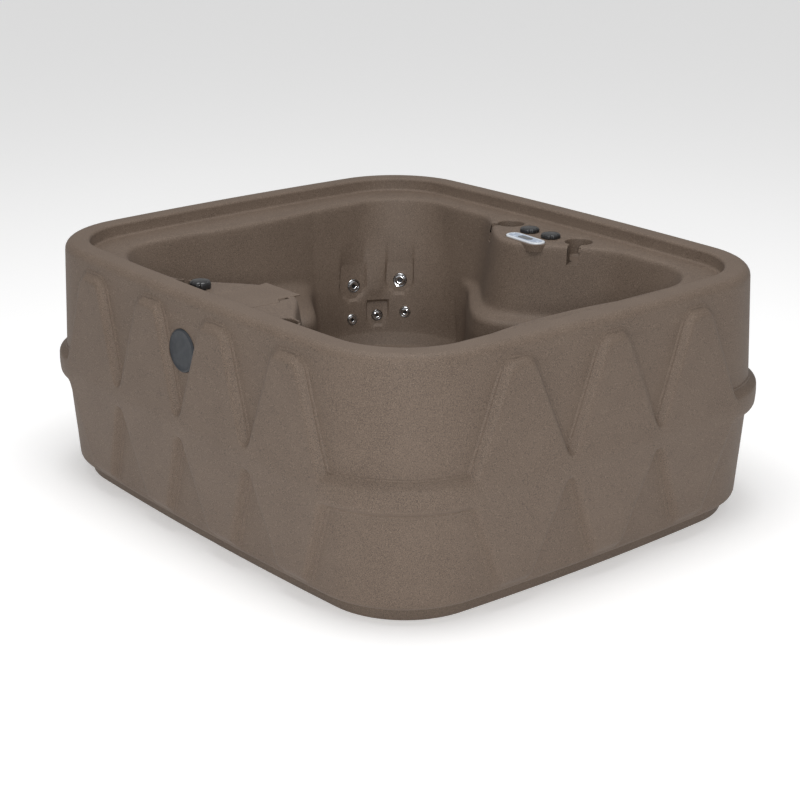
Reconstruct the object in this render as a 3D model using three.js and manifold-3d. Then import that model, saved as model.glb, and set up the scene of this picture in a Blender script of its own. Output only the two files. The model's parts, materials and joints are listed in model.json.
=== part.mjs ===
// Four-seat hot tub with a one-piece double-wall plastic shell, its controls, jets, filter and equipment.
// Millimetres, +Z up, origin at the middle of the underside. X runs along the longer side.
// The control deck is on the +Y side, with the equipment bay and its access door below it.

import * as THREE from 'three';
import { mergeVertices } from 'three/addons/utils/BufferGeometryUtils.js';
import Module from 'manifold-3d';

const wasm = await Module();
wasm.setup();

// ---------------------------------------------------------------- driving dimensions
const HEIGHT = 762;
const WALL_HALF_LENGTH = 913.6;    // cabinet wall at the height of its belt
const WALL_HALF_WIDTH = 788;
const WALL_CORNER = 318;
const CROWN = 14;                  // how far each wall bows out at its middle
const SKIN = 7;                    // moulded wall thickness
const VESSEL_WALL = 9;             // and that of the vessel, which is thicker

const BELT_MIDDLE = 378;           // the walls lean in above and below this height
const LEAN_ABOVE = 15.6;
const LEAN_BELOW = 28.6;

const RAISE = 24;                  // how far the belt and ribs stand out
const RIB_SLOPE = 8;               // width of a rib's sloping side
const RIB_TOP = 700;
const BELT_TOP = 408;
const BELT_BOTTOM = 345;
const RIB_BOTTOM = 86;
const LONG_RIB = { pitch: 329, top: 49, middle: 149, bottom: 54 };
const SHORT_RIB = { pitch: 346, top: 38, middle: 159, bottom: 50 };

const SHELL_BOTTOM = 42;
const RIM_INSET = 92;              // belt line to the rim's inner edge
const RIM_ROUND = 27;
const LEDGE = 718;                 // height of the flat ledge inside the rim
const LIP_THICKNESS = 8;

const MOUTH_HALF_LENGTH = 715;
const MOUTH_HALF_WIDTH = 620;
const DECK_MIDDLE = 18;            // the two decks sit a little towards +X
const DECK_DEPTH = 180;
const DECK_REACH = 340;
const ARM_MIDDLE = -30;            // the armrests sit a little towards -Y
const SIDE_WAIST = 18;
const SIDE_WAIST_REACH = 240;
const ARM_DEPTH = 212;             // armrest on each short side
const ARM_REACH = 205;
const SHELF_DEPTH = 50;            // shelf below each deck
const SHELF_REACH = 400;

const FOOT_HALF_LENGTH = 330;
const FOOT_HALF_WIDTH = 235;
const FOOT_CORNER = 120;
const FOOT_FLOOR = 75;

const PAN_FLOOR = 10;
const GAP = 0.3;                   // between neighbouring pieces that touch

const CUP_RADIUS = 44;
const CUP_DEPTH = 60;
const CONTROL_CUPS = { places: [[-143, 604], [174, 605]], turn: 30, slot: 36 };
const FILTER_CUPS = { places: [[-240, -645], [280, -645]], turn: 27, slot: 16 };
const KNOB_RADIUS = 32;
const AIR_KNOBS = { left: [-18, 571], right: [82, 569] };
const DIVERTER = [-150, -627];
const PANEL = { x: 40, y: 497, length: 165, width: 56, turn: -4 };

const LID_MIDDLE = 30;
const LID_HALF_WIDTH = 85;
const LID_BACK = -641;
const LID_FRONT = -462;
const WELL = { halfLength: 72, back: -634, front: -494, depth: 400 };

const LARGE_JET = 24;
const SMALL_JET = 19.5;
const POCKET_DEPTH = 12;           // jets in moulded pockets sit this much deeper

const DOOR_FACE = 800;
const DOOR = { halfLength: 250, bottom: 130, top: 630, thickness: 10 };

const BADGE = { z: 597, radius: 63, thickness: 7 };

// ---------------------------------------------------------------- colours and finishes
function finish(color, roughness, metalness = 0) {
  return new THREE.MeshStandardMaterial({ color, roughness, metalness });
}

const brownPlastic = finish(0x6e5f51, 0.85);
const panPlastic = finish(0x64564a, 0.85);
const blackPlastic = finish(0x17181a, 0.4);
const badgePlastic = finish(0x2c3036, 0.55);
const panelPlastic = finish(0xd9dde3, 0.35);
const displayGlass = finish(0x20262e, 0.15);
const buttonRubber = finish(0xb9c2cf, 0.6);
const jetMetal = finish(0xc9ccd0, 0.18, 1);
const whitePlastic = finish(0xe8e8e4, 0.5);
const greyPlastic = finish(0x6f747a, 0.6);
const filterCloth = finish(0xf1f2ee, 0.95);
const clearPlastic = finish(0xdfe8ee, 0.2);
const motorPaint = finish(0x2b3138, 0.5);
const stainless = finish(0xb4b7ba, 0.3, 1);
const foamYellow = finish(0xd9c27a, 0.95);

// ---------------------------------------------------------------- solids
const lerp = THREE.MathUtils.lerp;
const clamp = THREE.MathUtils.clamp;

function solidOf(geometry) {
  const bare = geometry.clone();
  for (const name of ['normal', 'uv']) {
    bare.deleteAttribute(name);
  }
  const merged = mergeVertices(bare, 1e-3);
  const mesh = new wasm.Mesh({
    numProp: 3,
    vertProperties: new Float32Array(merged.attributes.position.array),
    triVerts: new Uint32Array(merged.index.array),
  });
  return new wasm.Manifold(mesh);
}

function geometryOf(solid) {
  const mesh = solid.getMesh();
  const geometry = new THREE.BufferGeometry();
  geometry.setAttribute('position', new THREE.BufferAttribute(mesh.vertProperties, 3));
  geometry.setIndex(new THREE.BufferAttribute(mesh.triVerts, 1));
  geometry.computeVertexNormals();
  return geometry;
}

// Joins rings of points, one after another, into one closed skin. A ring of one point is a pole.
function loft(rings, wrap = false) {
  const coordinates = [];
  const rows = rings.map((ring) => ring.map((point) => {
    coordinates.push(point.x, point.y, point.z);
    return coordinates.length / 3 - 1;
  }));
  const faces = [];
  const bands = wrap ? rows.length : rows.length - 1;
  for (let band = 0; band < bands; band += 1) {
    const near = rows[band];
    const far = rows[(band + 1) % rows.length];
    const count = Math.max(near.length, far.length);
    for (let i = 0; i < count; i += 1) {
      const next = (i + 1) % count;
      const a = near[i % near.length];
      const b = near[next % near.length];
      const c = far[next % far.length];
      const d = far[i % far.length];
      if (a !== b) {
        faces.push(a, b, c);
      }
      if (c !== d) {
        faces.push(a, c, d);
      }
    }
  }
  const geometry = new THREE.BufferGeometry();
  geometry.setAttribute('position', new THREE.Float32BufferAttribute(coordinates, 3));
  geometry.setIndex(faces);
  return geometry;
}

// A turned shape about Z. The profile lists radius and height from the bottom up the outside to the top.
function turned(profile, segments = 12) {
  const points = profile.map(([radius, height]) => new THREE.Vector2(radius, height));
  return new THREE.LatheGeometry(points, segments).rotateX(Math.PI / 2);
}

function rod(radius, bottom, top, segments = 12) {
  return turned([[0, bottom], [radius, bottom], [radius, top], [0, top]], segments);
}

function block(low, high) {
  const size = high.map((value, i) => value - low[i]);
  const middle = high.map((value, i) => (value + low[i]) / 2);
  return new THREE.BoxGeometry(...size).translate(...middle);
}

// An upright plate with rounded ends or corners, seen from above.
function plate(length, width, corner, bottom, top, curveSteps = 4) {
  const [x, y] = [length / 2, width / 2];
  const shape = new THREE.Shape();
  shape.moveTo(-x + corner, -y);
  shape.lineTo(x - corner, -y);
  shape.absarc(x - corner, -y + corner, corner, -Math.PI / 2, 0);
  shape.lineTo(x, y - corner);
  shape.absarc(x - corner, y - corner, corner, 0, Math.PI / 2);
  shape.lineTo(-x + corner, y);
  shape.absarc(-x + corner, y - corner, corner, Math.PI / 2, Math.PI);
  shape.lineTo(-x, -y + corner);
  shape.absarc(-x + corner, -y + corner, corner, Math.PI, Math.PI * 1.5);
  const options = { depth: top - bottom, bevelEnabled: false, curveSegments: curveSteps };
  return new THREE.ExtrudeGeometry(shape, options).translate(0, 0, bottom);
}

// Turns a shape made about Z so that its +Z points along a direction, and moves it to a place.
function aimed(geometry, place, direction) {
  const up = new THREE.Vector3(0, 0, 1);
  const turn = new THREE.Quaternion().setFromUnitVectors(up, direction.clone().normalize());
  return geometry.clone().applyQuaternion(turn).translate(place.x, place.y, place.z);
}

function moved(geometry, x, y, z) {
  return geometry.clone().translate(x, y, z);
}

function joined(...geometries) {
  return geometries.map(solidOf).reduce((sum, piece) => sum.add(piece));
}

// A pipe of round section along straight runs with rounded bends.
function pipe(radius, corners, bend) {
  const path = new THREE.CurvePath();
  const points = corners.map((corner) => new THREE.Vector3(...corner));
  let start = points[0];
  for (let i = 1; i < points.length - 1; i += 1) {
    const into = points[i].clone().sub(points[i - 1]).setLength(bend);
    const away = points[i + 1].clone().sub(points[i]).setLength(bend);
    const before = points[i].clone().sub(into);
    const after = points[i].clone().add(away);
    path.add(new THREE.LineCurve3(start, before));
    path.add(new THREE.QuadraticBezierCurve3(before, points[i], after));
    start = after;
  }
  path.add(new THREE.LineCurve3(start, points.at(-1)));
  const section = new THREE.Shape().absarc(0, 0, radius, 0, Math.PI * 2);
  return new THREE.ExtrudeGeometry(section, { steps: 14, curveSegments: 5, extrudePath: path });
}

const tub = new THREE.Group();
tub.name = 'hot_tub';

function add(name, shape, material) {
  const geometry = shape.isBufferGeometry ? geometryOf(solidOf(shape)) : geometryOf(shape);
  const mesh = new THREE.Mesh(geometry, material);
  mesh.name = name;
  tub.add(mesh);
}

// ---------------------------------------------------------------- cabinet wall
function lean(z) {
  const above = (z - BELT_MIDDLE) / (HEIGHT - BELT_MIDDLE);
  return z > BELT_MIDDLE ? LEAN_ABOVE * above : (LEAN_BELOW * (BELT_MIDDLE - z)) / BELT_MIDDLE;
}

// Half the length of a side's bowed run, the angle at which it meets its corners, and its depth.
function wallRun(side) {
  const isLong = side % 2 === 0;
  const [reach, depth] = isLong ? [WALL_HALF_LENGTH, WALL_HALF_WIDTH] : [WALL_HALF_WIDTH, WALL_HALF_LENGTH];
  const tiltAt = (half) => Math.atan((2 * CROWN) / (half - WALL_CORNER + CROWN));
  const run = reach - WALL_CORNER * Math.cos(tiltAt(depth)) + WALL_CORNER * Math.sin(tiltAt(reach));
  return { run, depth, tilt: Math.atan((2 * CROWN) / run) };
}

// A point of the cabinet: side 0 faces -Y, 1 faces +X, 2 faces +Y and 3 faces -X. Its distance
// along the side is counted from the side's middle and runs on round the corner.
function wallPoint(side, along, inset, z) {
  const { run, depth } = wallRun(side);
  const onWall = Math.min(Math.abs(along), run);
  const slope = Math.atan((2 * CROWN * onWall) / run ** 2);
  const turn = slope + Math.max(Math.abs(along) - run, 0) / WALL_CORNER;
  const radius = WALL_CORNER - inset;
  const tangent = onWall - WALL_CORNER * Math.sin(slope) + radius * Math.sin(turn);
  const bow = CROWN * (1 - (onWall / run) ** 2);
  const outward = depth + bow - WALL_CORNER * Math.cos(slope) + radius * Math.cos(turn);
  const point = new THREE.Vector3(Math.sign(along) * tangent, -outward, z);
  return point.applyAxisAngle(new THREE.Vector3(0, 0, 1), (side * Math.PI) / 2);
}

function ribHalfWidth(rib, z) {
  const up = clamp((z - BELT_TOP) / (RIB_TOP - BELT_TOP), 0, 1);
  const down = clamp((BELT_BOTTOM - z) / (BELT_BOTTOM - RIB_BOTTOM), 0, 1);
  return up > 0 ? lerp(rib.middle, rib.top, up) : lerp(rib.middle, rib.bottom, down);
}

// Each rib has four stations: the foot and the edge of its left side, then of its right side.
function ribStations(side, centre, rib) {
  const edges = [[-1, RIB_SLOPE], [-1, 0], [1, 0], [1, RIB_SLOPE]];
  return edges.map(([sign, slope]) => ({
    side,
    raised: slope === 0,
    along: (z) => centre + sign * (ribHalfWidth(rib, z) + slope),
  }));
}

const doorPad = { top: 300, middle: 300, bottom: 300 };

function sideStations(side) {
  const isLong = side % 2 === 0;
  const rib = isLong ? LONG_RIB : SHORT_RIB;
  const count = isLong ? 4 : 3;
  const { run, tilt } = wallRun(side);
  const halfCorner = WALL_CORNER * (Math.PI / 4 - tilt);
  const plain = (along) => ({ side, raised: false, along: () => along });
  const stations = [plain(-run - halfCorner / 2), plain(-run)];
  for (let i = 0; i < count; i += 1) {
    const centre = (i - (count - 1) / 2) * rib.pitch;
    const hidden = side === 2 && Math.abs(centre) < rib.pitch;
    if (!hidden) {
      stations.push(...ribStations(side, centre, rib));
    } else if (centre > 0) {
      stations.push(...ribStations(side, 0, doorPad));
    }
  }
  stations.push(plain(run), plain(run + halfCorner / 2), plain(run + halfCorner));
  return stations;
}

const stations = [0, 1, 2, 3].flatMap(sideStations);

// One ring of the cabinet. ribs and belt say whether those stand out at this height.
function wallRing(z, inset, ribs = false, belt = false) {
  return stations.map((station) => {
    const standsOut = belt || (ribs && station.raised);
    const offset = lean(z) + inset - (standsOut ? RAISE : 0);
    return wallPoint(station.side, station.along(z), offset, z);
  });
}

function rimRing(z, inset) {
  return wallRing(z, inset - lean(z));
}

function cabinet() {
  const outside = [
    wallRing(SHELL_BOTTOM, 22),
    wallRing(SHELL_BOTTOM + 8, 6),
    wallRing(RIB_BOTTOM - 20, 0),
    wallRing(RIB_BOTTOM, 0, true),
    wallRing(BELT_BOTTOM - 15, 0, true),
    wallRing(BELT_BOTTOM, 0, true, true),
    wallRing(BELT_TOP, 0, true, true),
    wallRing(BELT_TOP + 15, 0, true),
    wallRing(RIB_TOP - 10, 0, true),
    wallRing(RIB_TOP + 4, 0),
    wallRing(HEIGHT - RIM_ROUND, 0),
    wallRing(HEIGHT - 8, 8),
    wallRing(HEIGHT, RIM_ROUND),
  ];
  const rim = [
    rimRing(HEIGHT, RIM_INSET),
    rimRing(LEDGE - LIP_THICKNESS, RIM_INSET),
    rimRing(LEDGE - LIP_THICKNESS, RIM_INSET - LIP_THICKNESS),
    rimRing(HEIGHT - SKIN, RIM_INSET - LIP_THICKNESS),
    wallRing(HEIGHT - SKIN, RIM_ROUND + 4),
  ];
  const inside = [
    wallRing(RIB_TOP + 4, SKIN),
    wallRing(BELT_MIDDLE, SKIN),
    wallRing(RIB_BOTTOM - 20, SKIN),
    rimRing(SHELL_BOTTOM + SKIN, 50),
    rimRing(SHELL_BOTTOM + SKIN, 80),
    rimRing(SHELL_BOTTOM, 80),
  ];
  return solidOf(loft([...outside, ...rim, ...inside], true));
}

// ---------------------------------------------------------------- bathing vessel
const SIDE_STEPS = { long: 12, short: 12 };
const CORNER_STEPS = 3;

// A rounded rectangle, counter-clockwise from the -Y side, with each point's side: y, x or corner.
function roundedLoop(halfLength, halfWidth, corner) {
  const [straightX, straightY] = [halfLength - corner, halfWidth - corner];
  const loop = [];
  for (let side = 0; side < 4; side += 1) {
    const isLong = side % 2 === 0;
    const [half, out] = isLong ? [straightX, halfWidth] : [straightY, halfLength];
    const steps = isLong ? SIDE_STEPS.long : SIDE_STEPS.short;
    const turn = (side * Math.PI) / 2;
    const push = (tangent, outward, kind) => {
      const point = new THREE.Vector3(tangent, -outward, 0);
      point.applyAxisAngle(new THREE.Vector3(0, 0, 1), turn);
      loop.push({ point, kind });
    };
    for (let i = 0; i <= steps; i += 1) {
      push(lerp(-half, half, i / steps), out, isLong ? 'y' : 'x');
    }
    for (let i = 1; i < CORNER_STEPS; i += 1) {
      const angle = (i / CORNER_STEPS) * (Math.PI / 2);
      push(half + corner * Math.sin(angle), out - corner + corner * Math.cos(angle), 'corner');
    }
  }
  return loop;
}

function swell(position, reach) {
  return Math.abs(position) < reach ? (1 + Math.cos((Math.PI * position) / reach)) / 2 : 0;
}

function plateau(position, reach) {
  return 1 - THREE.MathUtils.smoothstep(Math.abs(position), 0.5 * reach, reach);
}

// How the vessel's wall changes with height: inset from the mouth, corner radius, and how far the
// armrests and shelves stand out, as a share of their full depth.
const vesselWall = [
  { z: LEDGE, inset: -6, corner: 206, arm: 0, shelf: 0 },
  { z: 706, inset: 4, corner: 200, arm: 0, shelf: 0 },
  { z: 500, inset: 45, corner: 265, arm: 0, shelf: 0 },
  { z: 484, inset: 48, corner: 270, arm: 0.05, shelf: 0.2 },
  { z: 472, inset: 50, corner: 275, arm: 0.18, shelf: 1 },
  { z: 450, inset: 54, corner: 280, arm: 0.65, shelf: 1 },
  { z: 430, inset: 57, corner: 283, arm: 0.95, shelf: 1 },
  { z: 290, inset: 72, corner: 300, arm: 1, shelf: 1 },
  { z: 240, inset: 92, corner: 290, arm: 1, shelf: 1 },
  { z: 225, inset: 130, corner: 260, arm: 1, shelf: 1 },
];

function vesselRing({ z, inset, corner, arm, shelf }, thickness = 0) {
  const outset = inset - thickness;
  const narrow = 1.4 * thickness;
  const loop = roundedLoop(MOUTH_HALF_LENGTH - outset, MOUTH_HALF_WIDTH - outset, corner + thickness);
  return loop.map(({ point, kind }) => {
    const inward = new THREE.Vector3(0, 0, z);
    if (kind === 'y') {
      const offset = point.x - DECK_MIDDLE;
      const share = shelf * plateau(offset, SHELF_REACH - narrow);
      const relief = share * Math.max(inset - 60, 0);
      inward.y = DECK_DEPTH * swell(offset, DECK_REACH - narrow) + share * SHELF_DEPTH - relief;
    } else if (kind === 'x') {
      const offset = point.y - ARM_MIDDLE;
      const share = arm * swell(offset, ARM_REACH - narrow);
      const relief = share * Math.max(inset - 60, 0);
      inward.x = SIDE_WAIST * swell(offset, SIDE_WAIST_REACH - narrow) + share * ARM_DEPTH - relief;
    }
    const moveX = -Math.sign(point.x) * inward.x;
    const moveY = -Math.sign(point.y) * inward.y;
    return new THREE.Vector3(point.x + moveX, point.y + moveY, z);
  });
}

function footRing(z, inset) {
  const loop = roundedLoop(FOOT_HALF_LENGTH - inset, FOOT_HALF_WIDTH - inset, FOOT_CORNER - inset);
  return loop.map(({ point }) => point.setZ(z));
}

function seatRing(z, share, thickness) {
  const outer = vesselRing(vesselWall.at(-1), thickness);
  const inner = footRing(z, -thickness);
  return outer.map((point, i) => point.lerp(inner[i], share).setZ(z));
}

// A ring parallel to the cabinet's wall, with as many points as the vessel's rings.
function bodyRing(z, inset) {
  const ring = [];
  for (let side = 0; side < 4; side += 1) {
    const { run, tilt } = wallRun(side);
    const steps = side % 2 === 0 ? SIDE_STEPS.long : SIDE_STEPS.short;
    const corner = WALL_CORNER * (Math.PI / 2 - tilt - wallRun(side + 1).tilt);
    for (let i = 0; i <= steps; i += 1) {
      ring.push(wallPoint(side, lerp(-run, run, i / steps), inset, z));
    }
    for (let i = 1; i < CORNER_STEPS; i += 1) {
      ring.push(wallPoint(side, run + (corner * i) / CORNER_STEPS, inset, z));
    }
  }
  return ring;
}

function ledgeRing(z) {
  return bodyRing(z, RIM_INSET - LIP_THICKNESS / 2);
}

function vessel() {
  const under = [
    [new THREE.Vector3(0, 0, FOOT_FLOOR - SKIN)],
    footRing(FOOT_FLOOR - SKIN, 30),
    footRing(FOOT_FLOOR + 20, 4),
    footRing(198, -SKIN),
    seatRing(214, 0.85, SKIN),
    ...[9, 7, 6, 5, 3, 2, 1].map((i) => {
      const level = vesselWall[i];
      return vesselRing({ ...level, z: level.z - (i > 2 ? 7 : 1) }, VESSEL_WALL);
    }),
    vesselRing({ ...vesselWall[0], z: LEDGE - LIP_THICKNESS }, VESSEL_WALL),
    ledgeRing(LEDGE - LIP_THICKNESS),
  ];
  const upper = [
    ledgeRing(LEDGE),
    ...vesselWall.map((level) => vesselRing(level)),
    seatRing(222, 0.85, 0),
    footRing(205, 0),
    footRing(FOOT_FLOOR + 20, 12),
    footRing(FOOT_FLOOR, 36),
    [new THREE.Vector3(0, 0, FOOT_FLOOR)],
  ];
  return solidOf(loft([...under, ...upper]));
}

// The point and outward-facing direction of a seat's back, at a height and an angle round the corner.
// The angle turns from the short side towards the long side; signX and signY choose the seat.
function seatBack(z, degrees, signX, signY) {
  const upper = vesselWall.findLast((level) => level.z >= z);
  const lower = vesselWall.find((level) => level.z < z);
  const share = (upper.z - z) / (upper.z - lower.z);
  const inset = lerp(upper.inset, lower.inset, share);
  const corner = lerp(upper.corner, lower.corner, share);
  const angle = THREE.MathUtils.degToRad(degrees);
  const x = MOUTH_HALF_LENGTH - inset - corner * (1 - Math.cos(angle));
  const y = MOUTH_HALF_WIDTH - inset - corner * (1 - Math.sin(angle));
  const slope = (lower.inset - upper.inset) / (upper.z - lower.z);
  const face = new THREE.Vector3(-signX * Math.cos(angle), -signY * Math.sin(angle), slope).normalize();
  return { place: new THREE.Vector3(signX * x, signY * y, z), face };
}

// ---------------------------------------------------------------- fittings in the shell
const shellAdditions = [];
const shellCuts = [];

// A jet: a flanged body through the wall and a turning face with its nozzle.
function jet(name, radius, depth, { place, face }) {
  const seat = place.clone().addScaledVector(face, -depth);
  const boss = rod(radius + 8, -16, depth + 1.5, 8);
  const clear = turned([
    [0, -80], [15, -80], [15, -4.5], [radius + 0.6, -4.5], [radius + 0.6, 60], [0, 60],
  ]);
  shellAdditions.push(aimed(boss, seat, face));
  shellCuts.push(aimed(clear, seat, face));
  const rim = radius - 4;
  const body = turned([
    [0, -62], [14.4, -62], [14.4, -4], [radius, -4], [radius, 1], [radius - 2, 3],
    [rim, 3], [rim, -1], [0, -1],
  ]);
  const nozzle = turned([
    [5, -0.6], [rim - 1.4, -0.6], [rim - 1.4, 2.5], [radius * 0.5, 5], [5, 1.5], [5, -0.6],
  ]);
  add(`${name}_body`, aimed(body, seat, face), jetMetal);
  add(`${name}_face`, aimed(nozzle, seat, face), jetMetal);
}

const farSeatJets = [
  ['upper_left', LARGE_JET, POCKET_DEPTH, 436, 12],
  ['upper_right', LARGE_JET, POCKET_DEPTH, 448, 45],
  ['lower_left', SMALL_JET, 0, 322, 12],
  ['lower_middle', SMALL_JET, POCKET_DEPTH, 328, 30],
  ['lower_right', SMALL_JET, 0, 340, 49],
];
for (const [name, radius, depth, z, degrees] of farSeatJets) {
  jet(`jet_${name}`, radius, depth, seatBack(z, degrees, -1, 1));
}

const otherSeats = { near_seat_jet: [1, -1], left_seat_jet: [-1, -1], right_seat_jet: [1, 1] };
for (const [name, [signX, signY]] of Object.entries(otherSeats)) {
  jet(name, LARGE_JET, 0, seatBack(400, 38, signX, signY));
}

// Distance from the middle to the vessel's wall below a deck's edge.
function mouthEdge(x) {
  return MOUTH_HALF_WIDTH - 4 - DECK_DEPTH * swell(x - DECK_MIDDLE, DECK_REACH);
}

// Cup holder: a well in the ledge, with a slot for a glass's stem that runs out through the deck's edge.
function cupHolder([x, y], degrees, slotWidth) {
  const wall = 5;
  const bottom = LEDGE - CUP_DEPTH;
  const turn = THREE.MathUtils.degToRad(degrees);
  const direction = new THREE.Vector2(Math.sin(turn), -Math.sign(y) * Math.cos(turn));
  let reach = 0;
  while (Math.abs(y + reach * direction.y) > mouthEdge(x + reach * direction.x)) {
    reach += 1;
  }
  const laid = (geometry) => {
    const heading = direction.angle() - Math.PI / 2;
    return moved(geometry.rotateZ(heading), x, y, 0);
  };
  const half = slotWidth / 2;
  shellAdditions.push(laid(rod(CUP_RADIUS + wall, bottom - wall, LEDGE - 1)));
  shellAdditions.push(laid(block([-half - wall, 0, bottom - wall], [half + wall, reach - 6, LEDGE - 1])));
  shellCuts.push(laid(rod(CUP_RADIUS, bottom, LEDGE + 5)));
  shellCuts.push(laid(block([-half, 0, bottom], [half, reach + 60, LEDGE + 5])));
}

for (const { places, turn, slot } of [CONTROL_CUPS, FILTER_CUPS]) {
  cupHolder(places[0], -turn, slot);
  cupHolder(places[1], turn, slot);
}

// Air controls and the diverter: a knob on a valve that hangs below the deck.
function deckValve(name, [x, y], knobHeight, knobRadius, valveDepth) {
  const collar = 15;
  shellCuts.push(moved(rod(collar + GAP, LEDGE - 40, LEDGE + 5), x, y, 0));
  const valve = turned([
    [0, LEDGE - valveDepth], [13, LEDGE - valveDepth], [13, LEDGE - 50], [21, LEDGE - 50],
    [21, LEDGE - LIP_THICKNESS - GAP], [collar, LEDGE - LIP_THICKNESS - GAP], [collar, LEDGE + 1],
    [7, LEDGE + 1], [7, LEDGE - 20], [0, LEDGE - 20],
  ]);
  const foot = LEDGE + 1 + GAP;
  const knob = turned([
    [0, LEDGE - 18], [6, LEDGE - 18], [6, foot], [knobRadius, foot], [knobRadius, foot + knobHeight * 0.6],
    [knobRadius - 5, foot + knobHeight], [0, foot + knobHeight],
  ], 20);
  const grip = plate(knobRadius * 1.5, 9, 4, foot + knobHeight - 2, foot + knobHeight + 4);
  add(`${name}_valve`, moved(valve, x, y, 0), whitePlastic);
  add(`${name}_knob`, joined(moved(knob, x, y, 0), moved(grip, x, y, 0)), blackPlastic);
}

deckValve('air_left', AIR_KNOBS.left, 11, KNOB_RADIUS, 90);
deckValve('air_right', AIR_KNOBS.right, 11, KNOB_RADIUS, 90);
deckValve('diverter', DIVERTER, 20, KNOB_RADIUS, 130);

// Control panel: an oval housing in a shallow recess at the deck's edge.
function onPanel(geometry, along = 0, across = 0) {
  const turn = THREE.MathUtils.degToRad(PANEL.turn);
  return geometry.clone().translate(along, across, 0).rotateZ(turn).translate(PANEL.x, PANEL.y, 0);
}

const panelFloor = LEDGE - 5;
const panelTop = LEDGE + 4;
const panelHole = plate(PANEL.length - 30, PANEL.width - 26, 12, LEDGE - 40, LEDGE);
shellAdditions.push(onPanel(plate(PANEL.length + 24, PANEL.width + 24, 34, LEDGE - 14, LEDGE - 1, 6)));
shellCuts.push(onPanel(plate(PANEL.length + 2, PANEL.width + 2, 28, panelFloor, LEDGE + 5, 6)));
shellCuts.push(onPanel(panelHole));

const buttonPlaces = [[-62, 0], [-38, -14], [-38, 14], [62, 0]];
const housing = joined(
  onPanel(plate(PANEL.length, PANEL.width, 27, panelFloor + GAP, panelTop, 6)),
  onPanel(plate(PANEL.length - 34, PANEL.width - 30, 10, LEDGE - 34, panelFloor + 1)),
);
const displayPocket = onPanel(plate(62, 26, 5, panelTop - 2, panelTop + 1));
const buttonPocket = rod(6.4, panelTop - 3.5, panelTop + 1, 12);
const buttonPockets = buttonPlaces.map(([along, across]) => onPanel(buttonPocket, along, across));
const hollow = [displayPocket, ...buttonPockets].map(solidOf);
add('control_panel', hollow.reduce((sum, piece) => sum.subtract(piece), housing), panelPlastic);
add('panel_display', onPanel(plate(61.4, 25.4, 5, panelTop - 1.7, panelTop + 0.2)), displayGlass);
buttonPlaces.forEach(([along, across], i) => {
  add(`panel_button_${i + 1}`, onPanel(rod(6, panelTop - 2, panelTop + 0.8, 12), along, across), buttonRubber);
});

// Filter well below the opposite deck: housing, cartridge, skimmer grille and lift-off lid.
shellCuts.push(block(
  [LID_MIDDLE - WELL.halfLength - 3, WELL.back - 3, LEDGE - 60],
  [LID_MIDDLE + WELL.halfLength + 3, WELL.front + 3, LEDGE + 5],
));
shellCuts.push(block(
  [LID_MIDDLE - LID_HALF_WIDTH - 1, LID_BACK - 1, LEDGE - 4],
  [LID_MIDDLE + LID_HALF_WIDTH + 1, LID_FRONT + 60, LEDGE + 5],
));
const grilleFront = -452;
const throat = { low: 610, high: 680, half: 60 };
shellCuts.push(block(
  [LID_MIDDLE - throat.half, WELL.front - 20, throat.low],
  [LID_MIDDLE + throat.half, grilleFront + 30, throat.high],
));

const wellTop = LEDGE - LIP_THICKNESS - GAP;
const wellBottom = wellTop - WELL.depth;
const wellWall = 4;
const [wellX, wellHalf] = [LID_MIDDLE, WELL.halfLength];
const well = joined(
  block(
    [wellX - wellHalf - 10, WELL.back - 10, wellTop - 5],
    [wellX + wellHalf + 10, WELL.front + 2, wellTop],
  ),
  block([wellX - wellHalf, WELL.back, wellBottom], [wellX + wellHalf, WELL.front, wellTop - 2]),
).subtract(solidOf(block(
  [wellX - wellHalf + wellWall, WELL.back + wellWall, wellBottom + wellWall],
  [wellX + wellHalf - wellWall, WELL.front - wellWall, wellTop + 5],
))).subtract(solidOf(block(
  [wellX - throat.half, WELL.front - 20, throat.low],
  [wellX + throat.half, WELL.front + 10, throat.high],
)));
add('filter_well', well, greyPlastic);

const filterY = (WELL.back + WELL.front) / 2;
const filterBottom = wellBottom + wellWall + GAP;
const cartridge = turned([
  [22, filterBottom], [58, filterBottom], [58, filterBottom + 12], [54, filterBottom + 12],
  [54, filterBottom + 218], [58, filterBottom + 218], [58, filterBottom + 230], [22, filterBottom + 230],
  [22, filterBottom],
], 18);
add('filter_cartridge', moved(cartridge, wellX, filterY, 0), filterCloth);

const lidTop = LEDGE + 1;
const lidSlab = block(
  [wellX - LID_HALF_WIDTH, LID_BACK, LEDGE - 3.5],
  [wellX + LID_HALF_WIDTH, LID_FRONT, lidTop],
);
const lidPlug = block(
  [wellX - wellHalf + 6, WELL.back + 6, LEDGE - 24],
  [wellX + wellHalf - 6, WELL.front - 6, LEDGE - 2],
);
add('filter_lid', joined(lidSlab, lidPlug), brownPlastic);

const grillePlate = block(
  [wellX - throat.half + 1, WELL.front + 8, throat.low + 1],
  [wellX + throat.half - 1, WELL.front + 14, throat.high - 1],
);
let grille = solidOf(grillePlate);
for (let row = 0; row < 5; row += 1) {
  const z = throat.low + 9 + row * 12;
  const slot = block([wellX - 48, WELL.front, z], [wellX + 48, WELL.front + 30, z + 6]);
  grille = grille.subtract(solidOf(slot));
}
add('skimmer_grille', grille, greyPlastic);

// Footwell fittings: two suction covers and an underwater light.
function footWallFitting(x, signY, z, radius) {
  const y = signY * (FOOT_HALF_WIDTH - 7);
  const face = new THREE.Vector3(0, -signY, 0);
  const place = new THREE.Vector3(x, y, z);
  shellAdditions.push(aimed(rod(radius + 4, -22, -5), place, face));
  shellCuts.push(aimed(turned([
    [0, -60], [20, -60], [20, -6], [radius + 0.6, -6], [radius + 0.6, 80], [0, 80],
  ]), place, face));
  return { place, face };
}

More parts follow.
